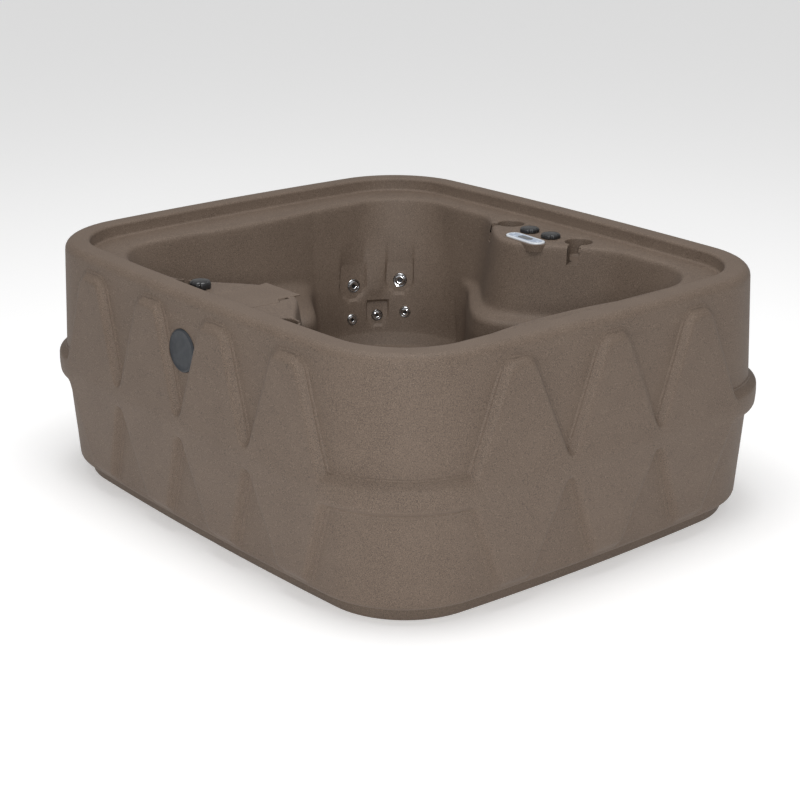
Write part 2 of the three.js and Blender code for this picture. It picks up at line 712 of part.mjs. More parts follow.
function suctionCover(name, x) {
  const radius = 46;
  const { place, face } = footWallFitting(x, 1, 150, radius);
  const dome = turned([
    [0, -30], [19.5, -30], [19.5, -5.7], [radius, -5.7], [radius, 0], [radius - 10, 8], [0, 10],
  ]);
  let cover = solidOf(aimed(dome, place, face));
  cover = cover.subtract(solidOf(aimed(rod(15, -40, 3), place, face)));
  for (let i = 0; i < 6; i += 1) {
    const angle = (i * Math.PI) / 3;
    const centre = place.clone().add(new THREE.Vector3(10 * Math.cos(angle), 0, 10 * Math.sin(angle)));
    cover = cover.subtract(solidOf(aimed(rod(2.6, -10, 20, 6), centre, face)));
  }
  add(name, cover, blackPlastic);
}

suctionCover('suction_cover_left', -110);
suctionCover('suction_cover_right', 110);

const light = footWallFitting(0, -1, 150, 42);
add('light_housing', aimed(turned([
  [0, -50], [19.5, -50], [19.5, -5.7], [42, -5.7], [42, 2], [34, 2], [34, -2], [0, -2],
]), light.place, light.face), whitePlastic);
const lens = turned([[0, -1.7], [33.5, -1.7], [33.5, 3], [20, 8], [0, 10]]);
add('light_lens', aimed(lens, light.place, light.face), clearPlastic);

// Badge disc between the middle ribs of the front wall.
const badgeFace = new THREE.Vector3(0, -1, LEAN_ABOVE / (HEIGHT - BELT_MIDDLE)).normalize();
const badgePlace = new THREE.Vector3(0, -(WALL_HALF_WIDTH + CROWN - lean(BADGE.z)), BADGE.z);
shellCuts.push(aimed(rod(BADGE.radius + 0.5, -2.5, 20, 28), badgePlace, badgeFace));
const badgeProfile = [
  [0, -2.2], [BADGE.radius, -2.2], [BADGE.radius, 2],
  [BADGE.radius - 3, BADGE.thickness - 2.2], [0, BADGE.thickness],
];
add('badge_disc', aimed(turned(badgeProfile, 28), badgePlace, badgeFace), badgePlastic);

// ---------------------------------------------------------------- equipment door
const doorX = DOOR.halfLength;
const frameEdge = doorX + 38;
shellAdditions.push(block(
  [-frameEdge, DOOR_FACE - 32, DOOR.bottom - 30],
  [frameEdge, DOOR_FACE, DOOR.top + 30],
));
shellCuts.push(block([-frameEdge, DOOR_FACE, DOOR.bottom - 30], [frameEdge, DOOR_FACE + 40, DOOR.top + 30]));
shellCuts.push(block(
  [-doorX - 2, DOOR_FACE - DOOR.thickness - 2, DOOR.bottom - 2],
  [doorX + 2, DOOR_FACE + 5, DOOR.top + 2],
));
shellCuts.push(block(
  [-doorX + 24, DOOR_FACE - 80, DOOR.bottom + 24],
  [doorX - 24, DOOR_FACE, DOOR.top - 24],
));

const screwHeights = [DOOR.bottom + 12, DOOR.top - 12];
const screwPlaces = [12 - doorX, doorX - 12].flatMap((x) => screwHeights.map((z) => [x, z]));
const outward = new THREE.Vector3(0, 1, 0);
const doorBack = DOOR_FACE - DOOR.thickness - 1.5;
let door = solidOf(block([-doorX, doorBack, DOOR.bottom], [doorX, DOOR_FACE - 1.5, DOOR.top]));
screwPlaces.forEach(([x, z], i) => {
  const place = new THREE.Vector3(x, DOOR_FACE - 1.5, z);
  const hole = aimed(rod(3.5, -40, 10, 8), place, outward);
  door = door.subtract(solidOf(hole));
  shellCuts.push(hole);
  const screw = turned([[0, -22], [3, -22], [3, GAP], [11, GAP], [11, 8], [9, 10], [0, 10]], 10);
  add(`door_thumbscrew_${i + 1}`, aimed(screw, place, outward), blackPlastic);
});
for (let row = 0; row < 6; row += 1) {
  const z = DOOR.bottom + 80 + row * 22;
  door = door.subtract(solidOf(block([-120, doorBack - 5, z], [120, DOOR_FACE + 5, z + 8])));
}
add('equipment_door', door, brownPlastic);

// ---------------------------------------------------------------- drain and power inlet on the +Y wall
const lowerWallFace = new THREE.Vector3(0, 1, -LEAN_BELOW / BELT_MIDDLE).normalize();

function wallFitting(x, z, radius) {
  const place = new THREE.Vector3(x, wallPoint(2, -x, lean(z), z).y, z);
  shellCuts.push(aimed(rod(radius, -60, 60), place, lowerWallFace));
  return place;
}

const drain = wallFitting(-372, 120, 15.4);
add('drain_valve', aimed(turned([
  [0, -60], [15, -60], [15, 0.8], [26, 0.8], [26, 6], [13, 6], [13, 24], [0, 24],
]), drain, lowerWallFace), blackPlastic);
add('drain_cap', aimed(turned([
  [0, 24.4], [13.4, 24.4], [13.4, 10], [17, 10], [17, 30], [15, 32], [0, 32],
]), drain, lowerWallFace), greyPlastic);
const inlet = wallFitting(372, 120, 12.4);
add('power_inlet_gland', aimed(turned([
  [5, -22], [12, -22], [12, 0.8], [20, 0.8], [20, 7], [14, 9], [11, 22], [5, 22], [5, -22],
]), inlet, lowerWallFace), blackPlastic);

// ---------------------------------------------------------------- shell, base pan and insulation
let shell = cabinet().add(vessel());
shell = shellAdditions.map(solidOf).reduce((sum, piece) => sum.add(piece), shell);
shell = shellCuts.map(solidOf).reduce((sum, piece) => sum.subtract(piece), shell).simplify(0.02);
add('unibody_shell', shell, brownPlastic);

add('base_pan', loft([
  [new THREE.Vector3(0, 0, 0)],
  bodyRing(0, 66),
  bodyRing(6, 60),
  bodyRing(SHELL_BOTTOM - GAP, 58),
  bodyRing(SHELL_BOTTOM - GAP, 74),
  bodyRing(PAN_FLOOR, 74),
  [new THREE.Vector3(0, 0, PAN_FLOOR)],
]), panPlastic);

const foam = plate(410, 1000, 30, PAN_FLOOR + GAP, 196);
add('seat_foam_left', moved(foam, -600, 0, 0), foamYellow);
add('seat_foam_right', moved(foam, 600, 0, 0), foamYellow);

// ---------------------------------------------------------------- equipment bay
const standing = PAN_FLOOR + GAP;
const alongX = new THREE.Vector3(1, 0, 0);
const pump = { y: 650, z: 112 };
const shelfTop = 256;
const shelfBack = 552;
const shelfFront = 704;
const heater = { y: 660, z: shelfTop + GAP + 38, left: -190, right: 4 };

const motorShape = aimed(turned([
  [0, 0], [58, 0], [66, 8], [66, 190], [58, 205], [7.5, 205], [7.5, 160], [0, 160],
], 20), new THREE.Vector3(-180, pump.y, pump.z), alongX);
const motorFoot = block([-150, pump.y - 50, standing], [-20, pump.y + 50, pump.z - 50]);
const shaftRelief = aimed(rod(7.5, 0, 60, 8), new THREE.Vector3(-20, pump.y, pump.z), alongX);
add('pump_motor', joined(motorShape, motorFoot).subtract(solidOf(shaftRelief)), motorPaint);

const wetBack = 25 + GAP;
const wetEnd = joined(
  aimed(rod(82, 0, 72, 20), new THREE.Vector3(wetBack, pump.y, pump.z), alongX),
  aimed(rod(30, 60, 110), new THREE.Vector3(wetBack, pump.y, pump.z), alongX),
  moved(rod(30, 60, 112), wetBack + 36, heater.y, pump.z),
  block([wetBack + 5, pump.y - 50, standing], [wetBack + 67, pump.y + 50, pump.z - 50]),
).subtract(joined(
  aimed(rod(70, 8, 62, 20), new THREE.Vector3(wetBack, pump.y, pump.z), alongX),
  aimed(rod(22, 60, 120), new THREE.Vector3(wetBack, pump.y, pump.z), alongX),
  aimed(rod(8, -5, 20, 8), new THREE.Vector3(wetBack, pump.y, pump.z), alongX),
  moved(rod(22, 40, 120), wetBack + 36, heater.y, pump.z),
));
add('pump_wet_end', wetEnd, blackPlastic);

const impellerDisc = aimed(turned([
  [0, -42], [6, -42], [6, 14], [60, 14], [60, 19], [14, 20], [12, 34], [0, 34],
], 18), new THREE.Vector3(wetBack, pump.y, pump.z), alongX);
const vanes = [];
for (let i = 0; i < 6; i += 1) {
  const vane = block([18, -2, 8], [34, 2, 58]).rotateX((i * Math.PI) / 3);
  vanes.push(moved(vane, wetBack, pump.y, pump.z));
}
add('impeller', joined(impellerDisc, ...vanes), whitePlastic);

const stand = joined(
  block([-214, shelfBack, shelfTop - 5], [214, shelfFront, shelfTop]),
  block([-214, shelfBack, standing], [-208, shelfFront, shelfTop - 2]),
  block([208, shelfBack, standing], [214, shelfFront, shelfTop - 2]),
);
const dischargeHole = moved(rod(36, 200, 300), wetBack + 36, heater.y, 0);
add('equipment_stand', stand.subtract(solidOf(dischargeHole)), stainless);

const heaterTube = aimed(turned([
  [26, 0], [30, 0], [30, heater.right - heater.left], [26, heater.right - heater.left], [26, 0],
], 16), new THREE.Vector3(heater.left, heater.y, heater.z), alongX);
add('heater_tube', heaterTube, stainless);
const union = turned([[26, 0], [38, 0], [38, 26], [26, 26], [26, 0]], 12);
const unionLeft = new THREE.Vector3(heater.left - 26 - GAP, heater.y, heater.z);
const unionRight = new THREE.Vector3(heater.right + GAP, heater.y, heater.z);
add('heater_union_left', aimed(union, unionLeft, alongX), greyPlastic);
add('heater_union_right', aimed(union, unionRight, alongX), greyPlastic);

const returnX = wetBack + 36;
add('return_pipe', pipe(14, [
  [returnX, heater.y, pump.z + 80],
  [returnX, heater.y, heater.z],
  [heater.right + 27, heater.y, heater.z],
], 26), whitePlastic);

add('suction_pipe', pipe(18, [
  [wetBack + 90, pump.y, pump.z],
  [wetBack + 160, pump.y, pump.z],
  [wetBack + 160, 420, pump.z],
  [110, 380, 150],
  [110, 262, 150],
], 30), whitePlastic);

const box = { left: -120, right: 120, back: 556, front: 606, bottom: shelfTop + GAP, top: 470 };
const boxOutside = solidOf(block([box.left, box.back, box.bottom], [box.right, box.front, box.top]));
const boxHollow = solidOf(block(
  [box.left + 4, box.back + 4, box.bottom + 4],
  [box.right - 4, box.front + 5, box.top - 4],
));
const boxLid = block([box.left, box.front + GAP, box.bottom], [box.right, box.front + 5, box.top]);
add('control_box', boxOutside.subtract(boxHollow), greyPlastic);
add('control_box_lid', boxLid, greyPlastic);

export default tub;
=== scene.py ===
import json
import math

import bpy
import numpy as np
from mathutils import Matrix, Quaternion, Vector


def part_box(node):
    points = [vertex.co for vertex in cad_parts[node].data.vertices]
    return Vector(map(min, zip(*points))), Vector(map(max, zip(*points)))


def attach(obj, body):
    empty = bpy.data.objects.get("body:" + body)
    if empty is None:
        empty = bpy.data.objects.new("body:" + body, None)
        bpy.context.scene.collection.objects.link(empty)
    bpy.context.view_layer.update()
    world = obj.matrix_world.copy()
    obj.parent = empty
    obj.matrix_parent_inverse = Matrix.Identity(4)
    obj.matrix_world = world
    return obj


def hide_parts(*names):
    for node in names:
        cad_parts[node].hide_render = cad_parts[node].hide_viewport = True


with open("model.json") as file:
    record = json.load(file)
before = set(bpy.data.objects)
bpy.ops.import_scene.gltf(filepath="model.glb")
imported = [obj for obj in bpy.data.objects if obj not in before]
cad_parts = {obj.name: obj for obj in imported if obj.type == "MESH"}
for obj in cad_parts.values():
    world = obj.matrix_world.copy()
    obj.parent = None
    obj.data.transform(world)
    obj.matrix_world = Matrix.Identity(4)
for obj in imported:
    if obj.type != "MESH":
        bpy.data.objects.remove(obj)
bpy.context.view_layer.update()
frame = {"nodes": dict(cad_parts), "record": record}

# ---------------------------------------------------------------- camera
# A long lens a little above the rim, looking at the corner between the badge wall and the short wall.
camera_data = bpy.data.cameras.new("camera")
camera_data.lens = 81.62
camera_data.sensor_width = 36.0
camera_data.clip_end = 60.0
camera = bpy.data.objects.new("camera", camera_data)
camera.location = (4.1574, -3.4335, 2.1764)
camera.rotation_euler = (math.radians(90 - 19.48), math.radians(0.08), math.radians(50.376))
bpy.context.scene.collection.objects.link(camera)
bpy.context.scene.camera = camera

# ---------------------------------------------------------------- floor and light
# A plain white floor that runs out of view, an even pale sky, a wide lamp above and a smaller one in front.
floor_mesh = bpy.data.meshes.new("floor")
FLOOR_REACH = 30.0
floor_corners = [(x * FLOOR_REACH, y * FLOOR_REACH, 0.0) for x, y in ((-1, -1), (1, -1), (1, 1), (-1, 1))]
floor_mesh.from_pydata(floor_corners, [], [(0, 1, 2, 3)])
floor = bpy.data.objects.new("floor", floor_mesh)
bpy.context.scene.collection.objects.link(floor)
floor_paint = bpy.data.materials.new("floor_paint")
floor_paint.use_nodes = True
floor_shader = floor_paint.node_tree.nodes["Principled BSDF"]
floor_shader.inputs["Base Color"].default_value = (0.93, 0.93, 0.93, 1)
floor_shader.inputs["Roughness"].default_value = 0.9
floor_shader.inputs["Emission Color"].default_value = (1, 1, 1, 1)
floor_shader.inputs["Emission Strength"].default_value = 0.3
floor_mesh.materials.append(floor_paint)

world = bpy.data.worlds.new("studio")
world.use_nodes = True
world.node_tree.nodes["Background"].inputs["Color"].default_value = (1, 1, 1, 1)
world.node_tree.nodes["Background"].inputs["Strength"].default_value = 0.42
bpy.context.scene.world = world
bpy.context.scene.view_settings.view_transform = "Standard"


def lamp(name, place, target, size, power):
    data = bpy.data.lights.new(name, "AREA")
    data.shape = "SQUARE"
    data.size = size
    data.energy = power
    holder = bpy.data.objects.new(name, data)
    holder.location = place
    aim = Vector(target) - Vector(place)
    holder.rotation_euler = aim.to_track_quat("-Z", "Y").to_euler()
    bpy.context.scene.collection.objects.link(holder)


lamp("overhead", (0.4, -0.4, 4.8), (0, 0, 0.4), 2.8, 120)
lamp("front_key", (5.6, -4.8, 2.7), (0, 0, 0.4), 0.9, 170)

# ---------------------------------------------------------------- one-piece body
# The walls, rim, ledge, seats and footwell are one hollow polyethylene moulding, turned in a heated
# mould, so every edge is rounded and the wall is about 7 mm thick. Belt and ribs stand out to stiffen it.
MM = 0.001
HEIGHT = 762
LEDGE = 718
WALL_HALF = {"long": 913.6, "short": 788}      # at the ends of each wall, at belt height
CROWN = 14                                     # how far each wall bows out at its middle
CORNER = 318
BELT_MIDDLE = 378
RAISE = 24
RIB_TOP = 697
BELT = (345, 408)
LONG_RIB = {"pitch": 329, "top": 49, "middle": 149, "bottom": 54}
SHORT_RIB = {"pitch": 346, "top": 38, "middle": 159, "bottom": 50}
RIM_INSET = 92
RIM_ROUND = 27
BOTTOM = 42


def smooth(value, low, high):
    share = np.clip((value - low) / (high - low), 0, 1)
    return share * share * (3 - 2 * share)


def swell(position, reach):
    return np.where(np.abs(position) < reach, (1 + np.cos(np.pi * position / reach)) / 2, 0)


def lean(z):
    return np.where(z > BELT_MIDDLE, 15.6 * (z - BELT_MIDDLE) / (HEIGHT - BELT_MIDDLE),
                    28.6 * (BELT_MIDDLE - z) / BELT_MIDDLE)


def side_shape(side):
    """Half length of the bowed run, angle where its corner starts, and distance of the wall from the middle."""
    own, other = ("long", "short") if side % 2 == 0 else ("short", "long")
    tilt = {key: math.atan(2 * CROWN / (WALL_HALF[key] - CORNER + 16)) for key in WALL_HALF}
    run = WALL_HALF[own] - CORNER * math.cos(tilt[other]) + CORNER * math.sin(tilt[own])
    return run, math.atan(2 * CROWN / run), WALL_HALF[other]


def wall_point(side, along, inset):
    """Plan position of points on a side, by their distance along it, set in from the belt line."""
    run, tilt, out = side_shape(side)
    flat = np.clip(np.abs(along), 0, run)
    slope = np.arctan(2 * CROWN * flat / run ** 2)
    x = flat - inset * np.sin(slope)
    y = out + CROWN * (1 - (flat / run) ** 2) - inset * np.cos(slope)
    angle = tilt + (np.abs(along) - run) / CORNER
    round_x = run + (CORNER - inset) * np.sin(angle) - CORNER * math.sin(tilt)
    round_y = out + (CORNER - inset) * np.cos(angle) - CORNER * math.cos(tilt)
    beyond = np.abs(along) > run
    x, y = np.where(beyond, round_x, x) * np.sign(along), -np.where(beyond, round_y, y)
    turn = side * math.pi / 2
    return x * math.cos(turn) - y * math.sin(turn), x * math.sin(turn) + y * math.cos(turn)


def rib_half(rib, z):
    z = np.minimum(z, RIB_TOP + 6)
    upper = rib["middle"] + (rib["top"] - rib["middle"]) * (z - BELT[1]) / (RIB_TOP - BELT[1])
    lower = rib["middle"] + (rib["bottom"] - rib["middle"]) * (BELT[0] - z) / (BELT[0] - 86)
    return np.where(z > BELT[1], upper, np.where(z < BELT[0], lower, rib["middle"]))


DOOR_PAD = {"top": 300, "middle": 300, "bottom": 300}
RIBS = {0: [(c * 329, LONG_RIB) for c in (-1.5, -0.5, 0.5, 1.5)],
        1: [(c * 346, SHORT_RIB) for c in (-1, 0, 1)],
        2: [(-493.5, LONG_RIB), (0, DOOR_PAD), (493.5, LONG_RIB)],
        3: [(c * 346, SHORT_RIB) for c in (-1, 0, 1)]}

# Steps across a rib's edge, outwards from the raised face, and the height of the surface at each: the
# rounded shoulder, the sloping side, and the small bead at its foot.
EDGE_STEPS = np.array([27, 24, 22.5, 20, 16, 13.5, 7, 1, -3, -8, -18.0])
EDGE_HEIGHTS = np.array([0, 0.6, 3.4, 4.2, 3.4, 5.6, 14, 21.6, 23.4, 24, 24.0])


def raised(along, z, side):
    """How far the surface stands out from the recessed wall."""
    belt = np.abs(z - sum(BELT) / 2) - (BELT[1] - BELT[0]) / 2
    fields = [belt]
    for centre, rib in RIBS[side]:
        flank = (np.abs(along - centre) - rib_half(rib, z)) * (1 if rib is DOOR_PAD else 0.943)
        top = z - (RIB_TOP if rib is not DOOR_PAD else 676)
        round_off = 17
        over = np.hypot(np.maximum(flank + round_off, 0), np.maximum(top + round_off, 0))
        fields.append(np.minimum(np.maximum(flank, top), -round_off) + over)
    fillet = 15
    nearest = np.min(fields, axis=0)
    under = sum(np.maximum(fillet - field, 0) ** 2 for field in fields)
    distance = np.maximum(fillet, nearest) - np.sqrt(under)
    height = np.interp(distance, EDGE_STEPS[::-1], EDGE_HEIGHTS[::-1])
    return height * np.where(z < BELT[0] - 20, smooth(z, 56, 92), 1)


def edge_columns(side, z):
    """Distances along a side, for each height, of the columns that follow its ribs."""
    ribs = RIBS[side]
    edges = []
    for i, (centre, rib) in enumerate(ribs):
        half = rib_half(rib, z)
        left_gap = 200 if i == 0 else (centre - half) - (ribs[i - 1][0] + rib_half(ribs[i - 1][1], z))
        right_gap = 200 if i == len(ribs) - 1 else (ribs[i + 1][0] - rib_half(ribs[i + 1][1], z)) - (centre + half)
        for sign, gap in ((-1, left_gap), (1, right_gap)):
            room = np.minimum(0.47 * gap / EDGE_STEPS[0], 1)
            steps = [np.where(step > 0, step * room, step) for step in EDGE_STEPS]
            band = [centre + sign * (half + step) for step in steps]
            edges.append(band if sign < 0 else band[::-1])
    columns = []
    for i, band in enumerate(edges):
        columns += band
        if i < len(edges) - 1:
            pad = 7 if ribs[i // 2][1] is DOOR_PAD and i % 2 == 0 else 1
            for k in range(1, pad + 1):
                columns.append(band[-1] + (edges[i + 1][0] - band[-1]) * k / (pad + 1))
    return columns


CORNER_COLUMNS = {0: (9, 9), 1: (9, 9), 2: (9, 40), 3: (40, 9)}


def side_columns(side, z):
    """All columns of one side: its share of the corner before it, its ribs, and its share of the next corner."""
    run, tilt, _ = side_shape(side)
    middle = run + CORNER * (math.pi / 4 - tilt)
    ribs = edge_columns(side, z)
    before, after = CORNER_COLUMNS[side]
    first = [-middle + (ribs[0] + middle) * k / before for k in range(before)]
    last = [ribs[-1] + (middle - ribs[-1]) * k / (after + 1) for k in range(1, after + 1)]
    return np.stack(first + ribs + last, axis=-1)


def wall_rows():
    """Heights and insets of the outside, from the bottom lip up to the top of the rim."""
    steps = EDGE_STEPS[::-1]
    angles = np.radians(np.linspace(8, 82, 6))
    bottom = [(BOTTOM, 34.0)] + [(BOTTOM + 22 * (1 - math.cos(a)), 22 * (1 - math.sin(a))) for a in angles]
    heights = [68, 76, 84, 94, 120, 165, 210, 255, 292, 304, 311]
    heights += list(BELT[0] - steps[::-1]) + [370, 384] + list(BELT[1] + steps)
    heights += [441, 448, 480, 520, 560, 600, 635, 652, 662] + list(676 + steps[:3]) + list(RIB_TOP + steps)
    heights = sorted(set(round(float(h), 2) for h in heights))
    rounding = np.radians(np.linspace(0, 90, 9))
    top = [(HEIGHT - RIM_ROUND * (1 - math.sin(a)), RIM_ROUND * (1 - math.cos(a))) for a in rounding]
    return bottom + [(h, 0.0) for h in heights] + top


def door_face(x, y, z):
    """The access door's frame is a flat upright panel, let into the raised pad."""
    frame_share = (1 - smooth(np.abs(x), 272, 290)) * smooth(z, 92, 108) * (1 - smooth(z, 650, 668))
    flat = np.where(y > 0, frame_share, 0)
    return y + (800 - y) * flat


def outside():
    rows = []
    for z, inset in wall_rows():
        xs, ys = [], []
        for side in range(4):
            along = side_columns(side, np.array([z]))[0]
            stand = raised(along, np.full_like(along, z), side) if 56 < z < HEIGHT - RIM_ROUND else 0
            x, y = wall_point(side, along, lean(np.array(z)) + inset - stand)
            xs.append(x)
            ys.append(door_face(x, y, z) if side == 2 else y)
        xs, ys = np.concatenate(xs), np.concatenate(ys)
        rows.append(np.stack([xs, ys, np.full_like(xs, z)], axis=-1))
    return rows


def column_kinds():
    """For each column: its side, whether it lies on the side's run or on the corner after it, and its share."""
    kinds = []
    for side in range(4):
        before, after = CORNER_COLUMNS[side]
        count = side_columns(side, np.array([600.0])).shape[1] - before - after
        turn_before = before + CORNER_COLUMNS[(side - 1) % 4][1]
        turn_after = after + CORNER_COLUMNS[(side + 1) % 4][0]
        for k in range(before):
            kinds.append(((side - 1) % 4, 1, (turn_before - before + k + 1) / (turn_before + 1)))
        kinds += [(side, 0, k / (count - 1)) for k in range(count)]
        kinds += [(side, 1, (k + 1) / (turn_after + 1)) for k in range(after)]
    return np.array(kinds)


KINDS = column_kinds()


def rounded_loop(half_x, half_y, corner):
    """A rounded rectangle with one point for each column. Also tells which points lie on each side's run."""
    side, turning, share = KINDS[:, 0].astype(int), KINDS[:, 1] > 0, KINDS[:, 2]
    long_side = side % 2 == 0
    half = np.where(long_side, half_x, half_y) - corner
    out = np.where(long_side, half_y, half_x)
    angle = share * math.pi / 2
    x = np.where(turning, half + corner * np.sin(angle), -half + 2 * half * share)
    y = -np.where(turning, out - corner + corner * np.cos(angle), out)
    turn = side * math.pi / 2
    return np.stack([x * np.cos(turn) - y * np.sin(turn), x * np.sin(turn) + y * np.cos(turn)], axis=-1)


ON_LONG = (KINDS[:, 1] == 0) & (KINDS[:, 0] % 2 == 0)
ON_SHORT = (KINDS[:, 1] == 0) & (KINDS[:, 0] % 2 == 1)
MOUTH = (715, 620)
DECK_MIDDLE = 18
ARM_MIDDLE = -30

# The vessel's wall from the ledge down: height, inset from the mouth, corner radius, and how far the
# armrests on the short sides and the shelves below the decks have grown.
VESSEL = [
    (717.9, -14, 214, 0, 0), (717.2, -8.5, 208.5, 0, 0), (715.0, -3.5, 203.5, 0, 0), (711.5, 0.5, 200, 0, 0),
    (707, 3, 199, 0, 0), (700, 5, 199, 0, 0), (685, 8, 204, 0, 0), (660, 12.5, 212, 0, 0),
    (630, 18, 222, 0, 0), (600, 24, 232, 0, 0), (570, 30, 242, 0, 0), (545, 35.5, 250, 0, 0),
    (525, 40, 257, 0, 0), (510, 43, 262, 0, 0), (500, 45, 265, 0.01, 0.02), (493, 46.3, 267, 0.03, 0.08),
    (488, 47.3, 268, 0.055, 0.2), (484, 48, 270, 0.08, 0.36), (480, 48.6, 271, 0.12, 0.58),
    (475, 49.5, 273, 0.2, 0.82), (470, 50.4, 274, 0.31, 0.93), (464, 51.5, 276, 0.45, 0.98),
    (458, 52.5, 278, 0.58, 1), (452, 53.5, 279, 0.71, 1), (446, 54.4, 280, 0.82, 1), (440, 55.4, 281, 0.9, 1),
    (433, 56.5, 282, 0.955, 1), (424, 57.8, 284, 0.985, 1), (412, 59.5, 286, 1, 1), (398, 61, 288, 1, 1),
    (384, 62.6, 290, 1, 1), (372, 64, 291, 1, 1), (360, 65.3, 292, 1, 1), (346, 66.6, 294, 1, 1),
    (332, 68, 296, 1, 1), (318, 69.5, 298, 1, 1), (304, 71, 299, 1, 1), (290, 73, 300, 1, 1),
    (275, 76, 299, 1, 1), (262, 80, 298, 1, 1), (251, 86, 295, 1, 1), (242, 94, 290, 1, 1),
    (235, 104, 284, 1, 1), (229.5, 118, 274, 1, 1), (226.5, 136, 262, 1, 1),
]


def pocket(t, z, centre, half, bottom, top=None):
    """A round-bottomed pocket for a jet: 1 inside it, falling to 0 across its edge."""
    middle = bottom + half
    distance = np.where(z > middle, np.abs(t - centre) - half, np.hypot(t - centre, z - middle) - half)
    inside = 1 - smooth(distance, -7, 1.5)
    fade = 1 - smooth(z, 455, 590) if top is None else 1 - smooth(z, top - 4, top + 2)
    return inside * fade


def vessel_ring(z, inset, corner, arm, shelf, behind=0.0):
    """One ring of the vessel's inside face, or of its hidden back when behind is the wall's thickness."""
    inset = inset - behind
    plan = rounded_loop(MOUTH[0] - inset, MOUTH[1] - inset, corner + behind)
    x, y = plan[:, 0], plan[:, 1]
    narrow = 1.5 * behind
    relief = max(inset - 60, 0)
    deck = 180 * swell(x - DECK_MIDDLE, 340 - narrow)
    flat = 1 - smooth(np.abs(x - DECK_MIDDLE), 200, 400 - narrow)
    push_y = np.where(ON_LONG, deck + shelf * flat * (50 - relief), 0)
    reach = 239 - 34 * np.clip((706 - z) / 226, 0, 1) - narrow
    bow = np.clip(1 - ((y - ARM_MIDDLE) / reach) ** 2, 0, None)
    tongue = swell(y - ARM_MIDDLE, 215 - narrow)
    push_x = np.where(ON_SHORT, 20 * bow + arm * tongue * (212 - relief), 0)
    x, y = x - np.sign(x) * push_x, y - np.sign(y) * push_y
    if behind == 0 and 280 < z < 600:
        t = (x + y) / math.sqrt(2)
        far = smooth(-x, 330, 400) * smooth(y, 80, 130)
        sunk = np.max([pocket(t, z, -225.5, 42.5, 391), pocket(t, z, -69, 50, 403),
                       pocket(t, z, -143, 38, 294, top=375)], axis=0) * 12
        rib = (1 - smooth(np.abs(t + 152), 8, 44)) * smooth(z, 385, 430) * (1 - smooth(z, 450, 590)) * 7
        depth = (sunk - rib * (1 - sunk / 12)) * far
        around = np.arctan2(y - 280, x + 380)
        x, y = x + depth * np.cos(around), y + depth * np.sin(around)
    return np.stack([x, y, np.full_like(x, z)], axis=-1)


def foot_ring(z, inset):
    plan = rounded_loop(330 - inset, 235 - inset, 120 - inset)
    return np.column_stack([plan, np.full(len(plan), z)])


def seat_ring(share, z, behind=0.0):
    outer, inner = vessel_ring(*VESSEL[-1], behind=behind), foot_ring(z, -behind)
    ring = outer + (inner - outer) * share
    ring[:, 2] = z
    return ring


def rim_ring(z, inset):
    """A ring parallel to the cabinet's wall but spaced like the vessel's rings."""
    x, y = np.zeros(len(KINDS)), np.zeros(len(KINDS))
    for side in range(4):
        run, tilt, _ = side_shape(side)
        mine = KINDS[:, 0] == side
        turning, share = KINDS[mine, 1] > 0, KINDS[mine, 2]
        along = np.where(turning, run + share * CORNER * (math.pi / 2 - 2 * tilt), -run + 2 * run * share)
        x[mine], y[mine] = wall_point(side, along, inset)
    return np.column_stack([x, y, np.full(len(x), float(z))])


def shell_rings():
    """Every ring of the moulding in order, from the footwell's floor over the rim and back inside to below it."""
    floor_level = 75
    inner = [foot_ring(floor_level, 60)]
    for a in np.radians(np.linspace(0, 75, 6)):
        inner.append(foot_ring(floor_level + 26 * (1 - math.cos(a)), 37 - 26 * math.sin(a)))
    inner += [foot_ring(120, 8), foot_ring(160, 4.5), foot_ring(192, 1.5), foot_ring(200, 0)]
    inner += [seat_ring(share, z) for share, z in
              ((0.975, 206), (0.94, 211), (0.88, 215), (0.75, 218), (0.5, 221.5), (0.25, 224), (0.1, 225.5))]
    inner += [vessel_ring(*level) for level in reversed(VESSEL)]
    ledge = [rim_ring(LEDGE, RIM_INSET + 14)]
    for a in np.radians(np.linspace(0, 80, 5)):
        ledge.append(rim_ring(LEDGE + 9 * (1 - math.cos(a)), RIM_INSET + 9 - 9 * math.sin(a)))
    for a in np.radians(np.linspace(0, 90, 6)):
        ledge.append(rim_ring(HEIGHT - 10 * (1 - math.sin(a)), RIM_INSET - 10 * (1 - math.cos(a))))
    over = outside()[::-1]
    hidden = [rim_ring(BOTTOM, 72), rim_ring(BOTTOM + 8, 72), rim_ring(BOTTOM + 9, 42),
              rim_ring(BELT_MIDDLE, 8), rim_ring(HEIGHT - 60, 21), rim_ring(HEIGHT - 12, 32),
              rim_ring(HEIGHT - 10, RIM_INSET - 18), rim_ring(LEDGE - 9, RIM_INSET - 9)]
    hidden += [vessel_ring(VESSEL[i][0] - drop, *VESSEL[i][1:], behind=7)
               for i, drop in ((3, 10), (8, 2), (13, 3), (17, 4), (21, 5), (25, 6), (29, 5), (37, 4), (43, 6))]
    hidden += [seat_ring(0.5, 212, 7), seat_ring(0.9, 205, 7), foot_ring(120, -2), foot_ring(68, 30)]
    return inner + ledge + over + hidden


